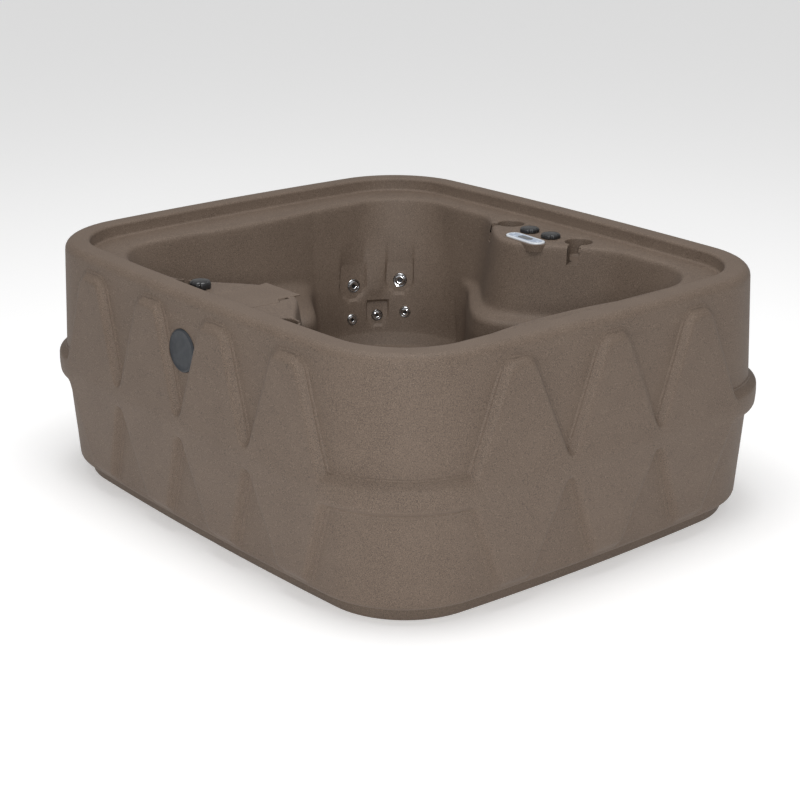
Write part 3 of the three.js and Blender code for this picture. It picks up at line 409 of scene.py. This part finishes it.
def closed_skin(rings):
    """Vertices and faces of a closed skin through rings of equal length, with a pole at each end."""
    count = len(rings[0])
    points = np.concatenate(rings)
    column = np.arange(count)
    following = (column + 1) % count
    faces = []
    for row in range(len(rings) - 1):
        near, far = row * count, (row + 1) * count
        faces.append(np.stack([near + column, near + following, far + following, far + column], axis=-1))
    faces = np.concatenate(faces).tolist()
    poles = [rings[0].mean(0), rings[-1].mean(0)]
    first, last = len(points), len(points) + 1
    points = np.concatenate([points, poles])
    faces += [(first, int(b), int(a)) for a, b in zip(column, following)]
    start = (len(rings) - 1) * count
    faces += [(last, int(start + a), int(start + b)) for a, b in zip(column, following)]
    return points, faces


def new_piece(name, points, faces, sharp=35):
    """A piece from points in millimetres, smooth except where faces meet at more than the sharp angle."""
    mesh = bpy.data.meshes.new(name)
    mesh.from_pydata((np.asarray(points) * MM).tolist(), [], faces)
    piece = bpy.data.objects.new(name, mesh)
    bpy.context.scene.collection.objects.link(piece)
    soften(mesh, sharp)
    return piece


def soften(mesh, sharp=35):
    mesh.validate()
    mesh.polygons.foreach_set("use_smooth", [True] * len(mesh.polygons))
    mesh.set_sharp_from_angle(angle=math.radians(sharp))
    mesh.update()


def turned(profile, segments=48):
    """Points and faces of a shape turned about Z, from radius and height listed up its outside, closed on the axis."""
    profile = np.array(profile, dtype=float)
    angle = np.linspace(0, 2 * math.pi, segments, endpoint=False)
    rings = [np.column_stack([r * np.cos(angle), r * np.sin(angle), np.full(segments, z)])
             for r, z in profile if r > 1e-6]
    points, faces = closed_skin(rings)
    points[-2] = (0, 0, profile[0][1])
    points[-1] = (0, 0, profile[-1][1])
    return points, faces


def prism(outline, low, high):
    """Points and faces of an upright prism over a plan outline."""
    outline = np.asarray(outline, dtype=float)
    count = len(outline)
    points = np.vstack([np.column_stack([outline, np.full(count, z)]) for z in (low, high)])
    faces = [tuple(reversed(range(count))), tuple(range(count, 2 * count))]
    faces += [(i, (i + 1) % count, count + (i + 1) % count, count + i) for i in range(count)]
    return points, faces


def placed(shape, turn=0.0, move=(0, 0, 0)):
    """A shape turned about Z and moved."""
    points, faces = shape
    c, s = math.cos(turn), math.sin(turn)
    spin = np.array([[c, -s, 0], [s, c, 0], [0, 0, 1]])
    return np.asarray(points) @ spin.T + np.array(move), faces


def aimed(shape, place, direction):
    """A shape made about Z, turned so that +Z points along a direction, and moved to a place."""
    points, faces = shape
    turn = Vector((0, 0, 1)).rotation_difference(Vector(direction)).to_matrix()
    return np.asarray(points) @ np.array(turn).T + np.array(place), faces


def oval(length, width, steps=14):
    """A plan outline with straight long sides and round ends."""
    end = np.linspace(-math.pi / 2, math.pi / 2, steps)
    reach, radius = (length - width) / 2, width / 2
    right = np.column_stack([reach + radius * np.cos(end), radius * np.sin(end)])
    return np.vstack([right, -right])


def flared(outline, low, high, flare, drop=0.0):
    """A plug over a convex outline that widens in a quarter round just below its top."""
    outline = np.asarray(outline, dtype=float)
    edge = np.roll(outline, -1, 0) - np.roll(outline, 1, 0)
    outward = np.column_stack([edge[:, 1], -edge[:, 0]]) / np.hypot(edge[:, 0], edge[:, 1])[:, None]
    rings = [np.column_stack([outline - outward * drop, np.full(len(outline), low)])]
    if drop:
        rings.append(np.column_stack([outline, np.full(len(outline), low + drop)]))
    for a in np.radians(np.linspace(0, 84, 5)):
        wide, z = flare * (1 - math.cos(a)), high - flare + flare * math.sin(a)
        rings.append(np.column_stack([outline + outward * wide, np.full(len(outline), z)]))
    rings.append(np.column_stack([outline + outward * flare, np.full(len(outline), high + 12)]))
    return closed_skin(rings)


def combine(piece, shape, operation):
    """Adds a shape to a piece or cuts it away."""
    tool = new_piece("tool", *shape)
    change = piece.modifiers.new("change", "BOOLEAN")
    change.operation, change.object, change.solver = operation, tool, "MANIFOLD"
    bpy.context.view_layer.update()
    result = bpy.data.meshes.new_from_object(piece.evaluated_get(bpy.context.evaluated_depsgraph_get()))
    piece.modifiers.remove(change)
    old, piece.data = piece.data, result
    bpy.data.meshes.remove(old)
    bpy.data.objects.remove(tool)


# Speckled brown polyethylene: ground-in dark and light flecks a couple of millimetres across, and a fine
# pebbled surface from the sand-blasted mould.
def node_group(name, inputs, outputs):
    """A new shader group with named sockets, and its input and output nodes."""
    group = bpy.data.node_groups.new(name, "ShaderNodeTree")
    for way, sockets in (("INPUT", inputs), ("OUTPUT", outputs)):
        for label, kind, value in sockets:
            socket = group.interface.new_socket(label, in_out=way, socket_type=kind)
            if value is not None:
                socket.default_value = value
    return group, group.nodes.new("NodeGroupInput"), group.nodes.new("NodeGroupOutput")


def noise(group, scale, detail=2.0):
    place = group.nodes.new("ShaderNodeTexCoord")
    texture = group.nodes.new("ShaderNodeTexNoise")
    texture.inputs["Detail"].default_value = detail
    group.links.new(place.outputs["Object"], texture.inputs["Vector"])
    if isinstance(scale, bpy.types.NodeSocket):
        group.links.new(scale, texture.inputs["Scale"])
    else:
        texture.inputs["Scale"].default_value = scale
    return texture.outputs["Fac"]


def spread(group, value, low, high, to_low=0.0, to_high=1.0):
    """A value stretched from one range to another and kept inside it."""
    node = group.nodes.new("ShaderNodeMapRange")
    node.inputs["From Min"].default_value, node.inputs["From Max"].default_value = low, high
    node.inputs["To Min"].default_value, node.inputs["To Max"].default_value = to_low, to_high
    group.links.new(value, node.inputs["Value"])
    return node.outputs["Result"]


def blend(group, share, first, second):
    node = group.nodes.new("ShaderNodeMix")
    node.data_type = "RGBA"
    group.links.new(share, node.inputs["Factor"])
    group.links.new(first, node.inputs["A"])
    group.links.new(second, node.inputs["B"])
    return node.outputs["Result"]


COLOR, VALUE = "NodeSocketColor", "NodeSocketFloat"
speckle, given, result = node_group(
    "moulded_speckle",
    [("Base", COLOR, (0.16, 0.11, 0.08, 1)), ("Dark Fleck", COLOR, (0.05, 0.03, 0.02, 1)),
     ("Light Fleck", COLOR, (0.3, 0.23, 0.17, 1)), ("Fleck Scale", VALUE, 420.0)],
    [("Color", COLOR, None), ("Roughness", VALUE, None), ("Height", VALUE, None)])
flecks = noise(speckle, given.outputs["Fleck Scale"], 1.0)
patches = spread(speckle, noise(speckle, 9.0), 0.3, 0.7, 0.0, 0.12)
darkened = blend(speckle, spread(speckle, flecks, 0.47, 0.3), given.outputs["Base"], given.outputs["Dark Fleck"])
flecked = blend(speckle, spread(speckle, flecks, 0.56, 0.74), darkened, given.outputs["Light Fleck"])
mottled = blend(speckle, patches, flecked, given.outputs["Light Fleck"])
speckle.links.new(mottled, result.inputs["Color"])
speckle.links.new(spread(speckle, flecks, 0.3, 0.7, 0.62, 0.74), result.inputs["Roughness"])
speckle.links.new(noise(speckle, 520.0, 3.0), result.inputs["Height"])

grain, given, result = node_group(
    "fine_grain",
    [("Color", COLOR, (0.5, 0.5, 0.5, 1)), ("Worn Color", COLOR, (0.5, 0.5, 0.5, 1)), ("Grain Scale", VALUE, 500.0)],
    [("Color", COLOR, None), ("Roughness Change", VALUE, None), ("Height", VALUE, None)])
handled = spread(grain, noise(grain, 28.0, 4.0), 0.45, 0.75)
grain.links.new(blend(grain, handled, given.outputs["Color"], given.outputs["Worn Color"]), result.inputs["Color"])
grain.links.new(spread(grain, noise(grain, 60.0, 5.0), 0.3, 0.7, -0.06, 0.08), result.inputs["Roughness Change"])
grain.links.new(noise(grain, given.outputs["Grain Scale"], 2.0), result.inputs["Height"])


def material(name, roughness, metallic=0.0):
    paint = bpy.data.materials.new(name)
    paint.use_nodes = True
    shader = paint.node_tree.nodes["Principled BSDF"]
    shader.inputs["Roughness"].default_value = roughness
    shader.inputs["Metallic"].default_value = metallic
    return paint, shader


def add_group(paint, group, **values):
    node = paint.node_tree.nodes.new("ShaderNodeGroup")
    node.node_tree = group
    for label, value in values.items():
        node.inputs[label.replace("_", " ")].default_value = value
    return node


def add_bump(paint, shader, height, depth, strength=1.0):
    bump = paint.node_tree.nodes.new("ShaderNodeBump")
    bump.inputs["Distance"].default_value = depth
    bump.inputs["Strength"].default_value = strength
    paint.node_tree.links.new(height, bump.inputs["Height"])
    paint.node_tree.links.new(bump.outputs["Normal"], shader.inputs["Normal"])


def speckled(name, base, dark, light):
    paint, shader = material(name, 0.68)
    flecked = add_group(paint, speckle, Base=base, Dark_Fleck=dark, Light_Fleck=light)
    paint.node_tree.links.new(flecked.outputs["Color"], shader.inputs["Base Color"])
    paint.node_tree.links.new(flecked.outputs["Roughness"], shader.inputs["Roughness"])
    add_bump(paint, shader, flecked.outputs["Height"], 0.00022)
    return paint


def grained(name, color, worn, roughness, metallic=0.0, scale=500.0, depth=0.0001, coat=0.0):
    """A plain plastic, paint or rubber: slightly uneven colour and shine over a fine grain."""
    paint, shader = material(name, roughness, metallic)
    grained_surface = add_group(paint, grain, Color=color, Worn_Color=worn, Grain_Scale=scale)
    links = paint.node_tree.links
    links.new(grained_surface.outputs["Color"], shader.inputs["Base Color"])
    uneven = paint.node_tree.nodes.new("ShaderNodeMath")
    uneven.inputs[1].default_value = roughness
    links.new(grained_surface.outputs["Roughness Change"], uneven.inputs[0])
    links.new(uneven.outputs["Value"], shader.inputs["Roughness"])
    shader.inputs["Coat Weight"].default_value = coat
    add_bump(paint, shader, grained_surface.outputs["Height"], depth)
    return paint


brown_plastic = speckled("speckled_brown_plastic", (0.135, 0.096, 0.07, 1), (0.065, 0.045, 0.032, 1),
                         (0.23, 0.172, 0.13, 1))


def fit(piece, paint, body, slot, *nodes):
    """Gives a piece its material, the body it moves with and the nodes it stands for, which it hides. The record slot
    is not used.
    """
    piece.data.materials.clear()
    piece.data.materials.append(paint)
    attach(piece, body)
    if nodes:
        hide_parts(*nodes)


shell = new_piece("body_moulding", *closed_skin(shell_rings()))

# Cup holders: a round well in the ledge with a slot for a glass's stem running out through the deck's edge.
CUP_RADIUS = 44
CUP_DEPTH = 60
circle = np.column_stack([np.cos(np.linspace(0, 2 * np.pi, 48, endpoint=False)),
                          np.sin(np.linspace(0, 2 * np.pi, 48, endpoint=False))])


def deck_edge(x):
    return MOUTH[1] - 4 - 180 * float(swell(np.array(x - DECK_MIDDLE), 340))


def cup_holder(x, y, degrees, width):
    turn = math.radians(degrees)
    heading = np.array([math.sin(turn), -math.copysign(math.cos(turn), y)])
    reach = 0
    while abs(y + reach * heading[1]) > deck_edge(x + reach * heading[0]):
        reach += 1
    spin = math.atan2(heading[1], heading[0])
    bottom = LEDGE - CUP_DEPTH
    move = (x, y, 0)
    casing = np.array([(0, -width / 2 - 6), (reach - 6, -width / 2 - 6), (reach - 6, width / 2 + 6), (0, width / 2 + 6)])
    slot = np.array([(0, -width / 2), (reach + 70, -width / 2), (reach + 70, width / 2), (0, width / 2)])
    combine(shell, placed(prism(circle * (CUP_RADIUS + 6), bottom - 6, LEDGE - 3), 0, move), "UNION")
    combine(shell, placed(prism(casing, bottom - 6, LEDGE - 3), spin, move), "UNION")
    combine(shell, placed(flared(circle * CUP_RADIUS, bottom, LEDGE, 5, drop=8), 0, move), "DIFFERENCE")
    combine(shell, placed(flared(slot, bottom, LEDGE, 4), spin, move), "DIFFERENCE")


cup_holder(-143, 604, -30, 36)
cup_holder(174, 605, 30, 36)
cup_holder(-240, -645, -27, 16)
cup_holder(280, -645, 27, 16)

# The keypad sits in a shallow oval recess on a pad that swells out over the vessel.
KEYPAD = {"x": 40, "y": 497, "turn": math.radians(-4)}
keypad_place = (KEYPAD["x"], KEYPAD["y"], 0)
combine(shell, placed(prism(oval(193, 84), LEDGE - 22, LEDGE - 2), KEYPAD["turn"], keypad_place), "UNION")
combine(shell, placed(prism(oval(188, 79), LEDGE - 22, LEDGE + 0.4), KEYPAD["turn"], keypad_place), "UNION")
combine(shell, placed(flared(oval(167, 58), LEDGE - 5, LEDGE + 0.4, 3), KEYPAD["turn"], keypad_place), "DIFFERENCE")
combine(shell, placed(prism(oval(140, 34), LEDGE - 60, LEDGE), KEYPAD["turn"], keypad_place), "DIFFERENCE")

# Holes for the three deck valves.
KNOBS = {"air_left": (-18, 571), "air_right": (82, 569), "diverter": (-150, -627)}
for x, y in KNOBS.values():
    combine(shell, placed(prism(circle * 15.3, LEDGE - 40, LEDGE + 5), 0, (x, y, 0)), "DIFFERENCE")

# The filter's lid lies flush in a stepped opening at the middle of the other deck, over the filter well.
LID = np.array([(-55, -641), (113, -641), (116, -536), (90, -521), (94, -446), (-72, -446), (-62, -500)])
combine(shell, prism([(-45, -637), (105, -637), (105, -491), (-45, -491)], LEDGE - 60, LEDGE + 5), "DIFFERENCE")


def outset(outline, gap):
    """A plan outline moved outwards by a small gap."""
    outline = np.asarray(outline, dtype=float)
    before, after = outline - np.roll(outline, 1, 0), np.roll(outline, -1, 0) - outline
    normals = [np.column_stack([e[:, 1], -e[:, 0]]) / np.hypot(e[:, 0], e[:, 1])[:, None] for e in (before, after)]
    middle = normals[0] + normals[1]
    return outline + middle * gap / (1 + (normals[0] * normals[1]).sum(1))[:, None]


opening = outset(LID, 1.6)
opening[4:6, 1] += 90
combine(shell, prism(opening, LEDGE - 4, LEDGE + 5), "DIFFERENCE")
combine(shell, prism([(-30, -514), (90, -514), (90, -400), (-30, -400)], 610, 680), "DIFFERENCE")

# Jets sit in turned holes. The places and directions are those of the turning faces' joints.
jets = {}
for joint in frame["record"]["behaviour"]["joints"]:
    if joint["child"].endswith("_insert"):
        name = joint["child"].removesuffix("_insert")
        radius = 19.5 if "lower" in name else 24
        jets[name] = (np.array(joint["pos_m"]) * 1000, np.array(joint["axis"]), radius)
for place, face, radius in jets.values():
    boss = aimed(turned([(0, -18), (radius + 10, -18), (radius + 7, -2), (radius + 3, 0.6), (0, 0.6)]), place, face)
    hole = aimed(turned([(0, -90), (15, -90), (15, -4.5), (radius + 0.6, -4.5), (radius + 0.6, 60), (0, 60)]),
                 place, face)
    combine(shell, boss, "UNION")
    combine(shell, hole, "DIFFERENCE")

# Holes in the footwell's wall for two suction covers and a light.
FOOT_WALL = 228
for x, side, radius in ((-110, 1, 46), (110, 1, 46), (0, -1, 42)):
    place, face = (x, side * FOOT_WALL, 150), (0, -side, 0)
    boss = turned([(0, -22), (radius + 5, -22), (radius + 5, -5), (0, -5)])
    hole = turned([(0, -61), (20, -61), (20, -6), (radius + 0.6, -6), (radius + 0.6, 79), (0, 79)])
    combine(shell, aimed(boss, place, face), "UNION")
    combine(shell, aimed(hole, place, face), "DIFFERENCE")

# The badge's shallow round seat, midway along the front wall.
BADGE_RADIUS = 63
badge_low, badge_high = (np.array(corner) * 1000 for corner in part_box("badge_disc"))
badge_face = np.array([0, -1, 15.6 / 384]) / math.hypot(1, 15.6 / 384)
badge_place = np.array([0, -(788 + CROWN - float(lean(np.array(597.0)))), 597])
combine(shell, aimed(prism(circle * (BADGE_RADIUS + 0.7), -2.5, 25), badge_place, badge_face), "DIFFERENCE")

# The equipment door's opening, with a step all round it and threaded holes for its four screws.
DOOR_FACE = 800
across = (1, 0, 0)


def upright(half, low, high, back, front):
    """A block standing against the door's wall."""
    return prism([(-half, back), (half, back), (half, front), (-half, front)], low, high)


combine(shell, upright(288, 100, 660, DOOR_FACE - 40, DOOR_FACE - 0.4), "UNION")
combine(shell, upright(252, 128, 632, DOOR_FACE - 12, DOOR_FACE + 30), "DIFFERENCE")
combine(shell, upright(226, 154, 606, DOOR_FACE - 120, DOOR_FACE), "DIFFERENCE")
SCREWS = [(x, z) for x in (-238, 238) for z in (142, 618)]
for x, z in SCREWS:
    combine(shell, aimed(prism(circle[::3] * 3.5, -50, 10), (x, DOOR_FACE - 1.5, z), (0, 1, 0)), "DIFFERENCE")

# Holes low on the same wall for the drain and the power cable's gland.
lower_face = np.array([0, 1, -28.6 / 378]) / math.hypot(1, 28.6 / 378)
fitting_y = 788 + CROWN * (1 - (372 / 611.2) ** 2) - float(lean(np.array(120.0)))
for x, radius in ((-372, 15.4), (372, 12.4)):
    combine(shell, aimed(prism(circle * radius, -60, 60), (x, fitting_y, 120), lower_face), "DIFFERENCE")

soften(shell.data, 32)
fit(shell, brown_plastic, "tub", "brown_plastic", "unibody_shell")

# ---------------------------------------------------------------- badge disc
# A plain dark moulded disc snapped into its seat between the middle ribs, domed a little at the edge.
badge_plastic = grained("badge_plastic", (0.02, 0.024, 0.03, 1), (0.034, 0.038, 0.045, 1), 0.5)
badge = new_piece("badge", *aimed(turned([
    (0, -2.2), (BADGE_RADIUS, -2.2), (BADGE_RADIUS, 2.4), (BADGE_RADIUS - 0.8, 3.8), (BADGE_RADIUS - 2.6, 4.8),
    (BADGE_RADIUS - 6, 5.2), (BADGE_RADIUS - 7, 4.6), (40, 5.6), (20, 6.3), (0, 6.6)], 96), badge_place, badge_face))
fit(badge, badge_plastic, "tub", "badge_plastic", "badge_disc")

# ---------------------------------------------------------------- keypad
# A glossy silver housing with a soft grey-blue overlay, a small dark display and four round rubber keys.
def stacked(outline, levels):
    """A closed shape through scaled-in copies of an outline: pairs of height and how far it is drawn in."""
    return closed_skin([np.column_stack([outset(outline, -inset), np.full(len(outline), z)])
                        for z, inset in levels])


def on_keypad(shape, along=0.0, over=0.0):
    points, faces = shape
    return placed((np.asarray(points) + np.array([along, over, 0]), faces), KEYPAD["turn"], keypad_place)


silver = grained("keypad_silver", (0.66, 0.69, 0.73, 1), (0.58, 0.61, 0.66, 1), 0.3, coat=0.4)
overlay_film = grained("keypad_overlay", (0.36, 0.42, 0.52, 1), (0.42, 0.48, 0.58, 1), 0.35, coat=0.3)
display_glass = grained("display_glass", (0.012, 0.015, 0.02, 1), (0.02, 0.024, 0.03, 1), 0.1, coat=1.0)
key_rubber = grained("key_rubber", (0.5, 0.56, 0.65, 1), (0.42, 0.48, 0.56, 1), 0.6)
TOP = LEDGE + 4
housing = new_piece("keypad_housing", *on_keypad(stacked(oval(165, 56, 20), [
    (LEDGE - 4.7, 0.6), (LEDGE + 1.4, 0), (LEDGE + 2.6, 0.5), (TOP - 0.4, 1.6), (TOP, 3.2), (TOP, 7.5),
    (TOP - 0.6, 8.2)])))
combine(housing, on_keypad(prism(oval(62, 26), TOP - 2, TOP + 1), 0, 0), "DIFFERENCE")
KEYS = [(-62, 0), (-38, -14), (-38, 14), (62, 0)]
for along, over in KEYS:
    combine(housing, on_keypad(prism(circle * 6.4, TOP - 3.5, TOP + 1), along, over), "DIFFERENCE")
combine(housing, on_keypad(prism(oval(131, 26), LEDGE - 34, LEDGE - 4)), "UNION")
soften(housing.data, 30)
fit(housing, silver, "tub", "panel_plastic", "control_panel")
overlay_low, overlay_high = TOP - 0.55, TOP - 0.1
overlay = new_piece("keypad_overlay", *on_keypad(prism(oval(147, 38, 20), overlay_low, overlay_high)))
combine(overlay, on_keypad(prism(oval(63, 27), TOP - 2, TOP + 1)), "DIFFERENCE")
for along, over in KEYS:
    combine(overlay, on_keypad(prism(circle * 6.8, TOP - 3.5, TOP + 1), along, over), "DIFFERENCE")
soften(overlay.data, 30)
fit(overlay, overlay_film, "tub", "panel_plastic")
display = new_piece("keypad_display", *on_keypad(stacked(oval(61.4, 25.4, 8), [
    (TOP - 1.7, 0.3), (TOP - 0.2, 0), (TOP + 0.1, 0.4), (TOP + 0.2, 1.4)])))
fit(display, display_glass, "tub", "display_window", "panel_display")
for i, (along, over) in enumerate(KEYS, 1):
    key = new_piece(f"keypad_key_{i}", *on_keypad(turned([
        (0, TOP - 2), (6, TOP - 2), (6, TOP + 0.1), (5.6, TOP + 0.6), (4.8, TOP + 0.8), (2.4, TOP + 0.45),
        (0, TOP + 0.35)], 32), along, over))
    fit(key, key_rubber, f"button_{i}", "button_rubber", f"panel_button_{i}")

# ---------------------------------------------------------------- air controls and diverter
# Moulded black knobs with a low dome and seven shallow grip hollows, each on a valve below the deck.
black_plastic = grained("black_plastic", (0.012, 0.012, 0.013, 1), (0.02, 0.02, 0.021, 1), 0.34, coat=0.2)
white_plastic = grained("white_plastic", (0.8, 0.8, 0.77, 1), (0.7, 0.7, 0.66, 1), 0.45)
for name, (x, y) in KNOBS.items():
    foot = LEDGE + 1.3
    rise = 24 if name == "diverter" else 15
    points, faces = turned([
        (0, LEDGE - 18), (6, LEDGE - 18), (6, foot), (30.5, foot), (32, foot + 1.5), (32, foot + rise * 0.45),
        (31, foot + rise * 0.68), (28, foot + rise * 0.84), (22, foot + rise * 0.93), (11, foot + rise * 0.985),
        (0, foot + rise)], 112)
    radius = np.hypot(points[:, 0], points[:, 1])
    angle = np.arctan2(points[:, 1], points[:, 0])
    hollow = np.clip(np.cos(7 * angle), 0, 1) ** 1.5 * smooth(radius, 18, 30) * 3.2
    points[:, :2] *= (1 - hollow / np.maximum(radius, 1))[:, None]
    knob = new_piece(f"{name}_knob_cap", *placed((points, faces), 0.2, (x, y, 0)))
    fit(knob, black_plastic, f"{name}_control", "black_plastic", f"{name}_knob")
    frame["nodes"][f"{name}_valve"].data.materials.clear()
    frame["nodes"][f"{name}_valve"].data.materials.append(white_plastic)

# ---------------------------------------------------------------- jets
# Each jet is a chromed flange clamped through the wall with a domed, turning chrome face. The face's throat
# is black plastic.
chrome = grained("jet_chrome", (0.78, 0.79, 0.81, 1), (0.7, 0.71, 0.73, 1), 0.12, metallic=1.0, depth=0.00002)
for name, (place, face, radius) in jets.items():
    rim = radius - 4
    flange = new_piece(name + "_flange", *aimed(turned([
        (0, -62), (14.4, -62), (14.4, -4), (radius, -4), (radius, 0.4), (radius - 0.7, 2), (radius - 2, 3),
        (rim + 0.6, 2.8), (rim, 1.8), (rim, -1), (0, -1)], 64), place, face))
    fit(flange, chrome, "tub", "jet_metal", name + "_body")
    swirl = new_piece(name + "_swirl", *aimed(turned([
        (0, -0.6), (rim - 1.4, -0.6), (rim - 1.4, 1.4), (rim * 0.86, 3.4), (rim * 0.66, 4.8), (rim * 0.5, 4.9),
        (rim * 0.4, 4.0), (rim * 0.34, 2.0), (rim * 0.31, 0.2), (0, 0.2)], 64), place, face))
    fit(swirl, chrome, name + "_insert", "jet_metal", name + "_face")
    swirl.data.materials.append(black_plastic)
    for polygon in swirl.data.polygons:
        arm = np.array(polygon.center) / MM - place
        if np.linalg.norm(arm - arm.dot(face) * face) < rim * 0.37 and arm.dot(face) > -0.3:
            polygon.material_index = 1

# ---------------------------------------------------------------- filter lid, well and cartridge
# The lid is moulded in the tub's own colour and lifts straight off. Below it a grey well holds the cartridge.
lid = new_piece("filter_cover_lid", *stacked(LID, [
    (LEDGE - 3.5, 0.3), (LEDGE - 1.2, 0), (LEDGE - 0.2, 0.3), (LEDGE + 0.5, 1.1), (LEDGE + 0.8, 2.6),
    (LEDGE + 0.8, 9)]))
combine(lid, prism([(-36, -628), (96, -628), (96, -500), (-36, -500)], LEDGE - 24, LEDGE - 2), "UNION")
soften(lid.data, 10)
fit(lid, brown_plastic, "filter_cover", "brown_plastic", "filter_lid")


def paint_nodes(paint, *names):
    """Gives CAD nodes that are shown as they are their material."""
    for name in names:
        data = frame["nodes"][name].data
        data.materials.clear()
        data.materials.append(paint)


grey_plastic = grained("grey_plastic", (0.16, 0.17, 0.19, 1), (0.12, 0.13, 0.14, 1), 0.55)
filter_cloth = grained("filter_cloth", (0.8, 0.81, 0.78, 1), (0.68, 0.69, 0.65, 1), 0.95, scale=900.0, depth=0.0006)
paint_nodes(grey_plastic, "filter_well", "skimmer_grille")
paint_nodes(filter_cloth, "filter_cartridge")

# ---------------------------------------------------------------- equipment door
# A flat moulded door with rounded edges and louvres, held by a knurled black thumbscrew in each corner.
DOOR = {"half": 250, "low": 130, "high": 630, "face": DOOR_FACE - 1.5, "thickness": 10}
quarter = np.radians(np.linspace(0, 90, 6))
door_outline = np.vstack([
    np.column_stack([sx * (DOOR["half"] - 12) + 12 * np.cos(quarter + start),
                     sy * (DOOR["half"] - 12) + 12 * np.sin(quarter + start)])
    for sx, sy, start in ((1, 1, 0), (-1, 1, math.pi / 2), (-1, -1, math.pi), (1, -1, math.pi * 1.5))])
door_middle = (DOOR["low"] + DOOR["high"]) / 2
door = new_piece("door_panel", *aimed(stacked(door_outline, [
    (-DOOR["thickness"], 0.5), (-3, 0), (-1.4, 0.4), (-0.4, 1.4), (0, 3), (0, 11)]),
    (0, DOOR["face"], door_middle), (0, 1, 0)))
for row in range(6):
    louvre = prism(oval(240, 8, 8), -30, 10)
    combine(door, aimed(louvre, (0, DOOR["face"], DOOR["low"] + 84 + row * 22), (0, 1, 0)), "DIFFERENCE")
for x, z in SCREWS:
    combine(door, aimed(turned([(0, -40), (3.6, -40), (3.6, 10), (0, 10)], 24), (x, DOOR["face"], z), (0, 1, 0)),
            "DIFFERENCE")
soften(door.data, 10)
fit(door, brown_plastic, "access_door", "brown_plastic", "equipment_door")
for i, (x, z) in enumerate(SCREWS, 1):
    points, faces = turned([(0, -22), (3, -22), (3, 0.3), (10, 0.3), (11, 1.2), (11, 7.6), (9.6, 9.2), (0, 9.8)], 96)
    radius = np.hypot(points[:, 0], points[:, 1])
    angle = np.arctan2(points[:, 1], points[:, 0])
    points[:, :2] *= (1 - 0.05 * (radius > 10.5) * (np.cos(24 * angle) > 0))[:, None]
    screw = new_piece(f"door_screw_{i}", *aimed((points, faces), (x, DOOR["face"], z), (0, 1, 0)))
    fit(screw, black_plastic, f"thumbscrew_{i}", "black_plastic", f"door_thumbscrew_{i}")

# ---------------------------------------------------------------- base pan
# A shallow moulded tray under the shell, in the same plastic, set back from the wall's lower edge. Its colours are the
# shell's made darker: painted shade for the tray tucked under the wall's overhang.
pan_plastic = speckled("pan_brown_plastic_painted_shade", (0.12, 0.086, 0.063, 1), (0.06, 0.042, 0.03, 1), (0.2, 0.15, 0.11, 1))
pan = new_piece("base_tray", *closed_skin([
    rim_ring(0, 68), rim_ring(1.5, 65), rim_ring(5, 62.5), rim_ring(38, 59), rim_ring(41, 59.4), rim_ring(41.7, 60.4),
    rim_ring(41.7, 74), rim_ring(10, 74)]))
fit(pan, pan_plastic, "tub", "pan_plastic", "base_pan")

# ---------------------------------------------------------------- fittings and equipment bay
# Suction covers, light, drain, cable gland, pump, heater, pipes, control box and foam keep the plain moulded
# and bent forms of the model, each in its own material.
clear_plastic = grained("frosted_lens", (0.74, 0.8, 0.84, 1), (0.66, 0.72, 0.77, 1), 0.25, coat=0.5)
motor_paint = grained("motor_enamel", (0.025, 0.03, 0.038, 1), (0.04, 0.045, 0.052, 1), 0.42, coat=0.3)
stainless = grained("stainless_steel", (0.46, 0.48, 0.5, 1), (0.4, 0.42, 0.44, 1), 0.32, metallic=1.0, depth=0.00005)
foam = grained("cut_foam", (0.69, 0.54, 0.2, 1), (0.6, 0.45, 0.15, 1), 0.95, scale=220.0, depth=0.0015)
paint_nodes(black_plastic, "suction_cover_left", "suction_cover_right", "drain_valve", "power_inlet_gland",
            "pump_wet_end")
paint_nodes(white_plastic, "light_housing", "impeller", "return_pipe", "suction_pipe")
paint_nodes(grey_plastic, "drain_cap", "heater_union_left", "heater_union_right", "control_box", "control_box_lid")
paint_nodes(clear_plastic, "light_lens")
paint_nodes(motor_paint, "pump_motor")
paint_nodes(stainless, "heater_tube", "equipment_stand")
paint_nodes(foam, "seat_foam_left", "seat_foam_right")
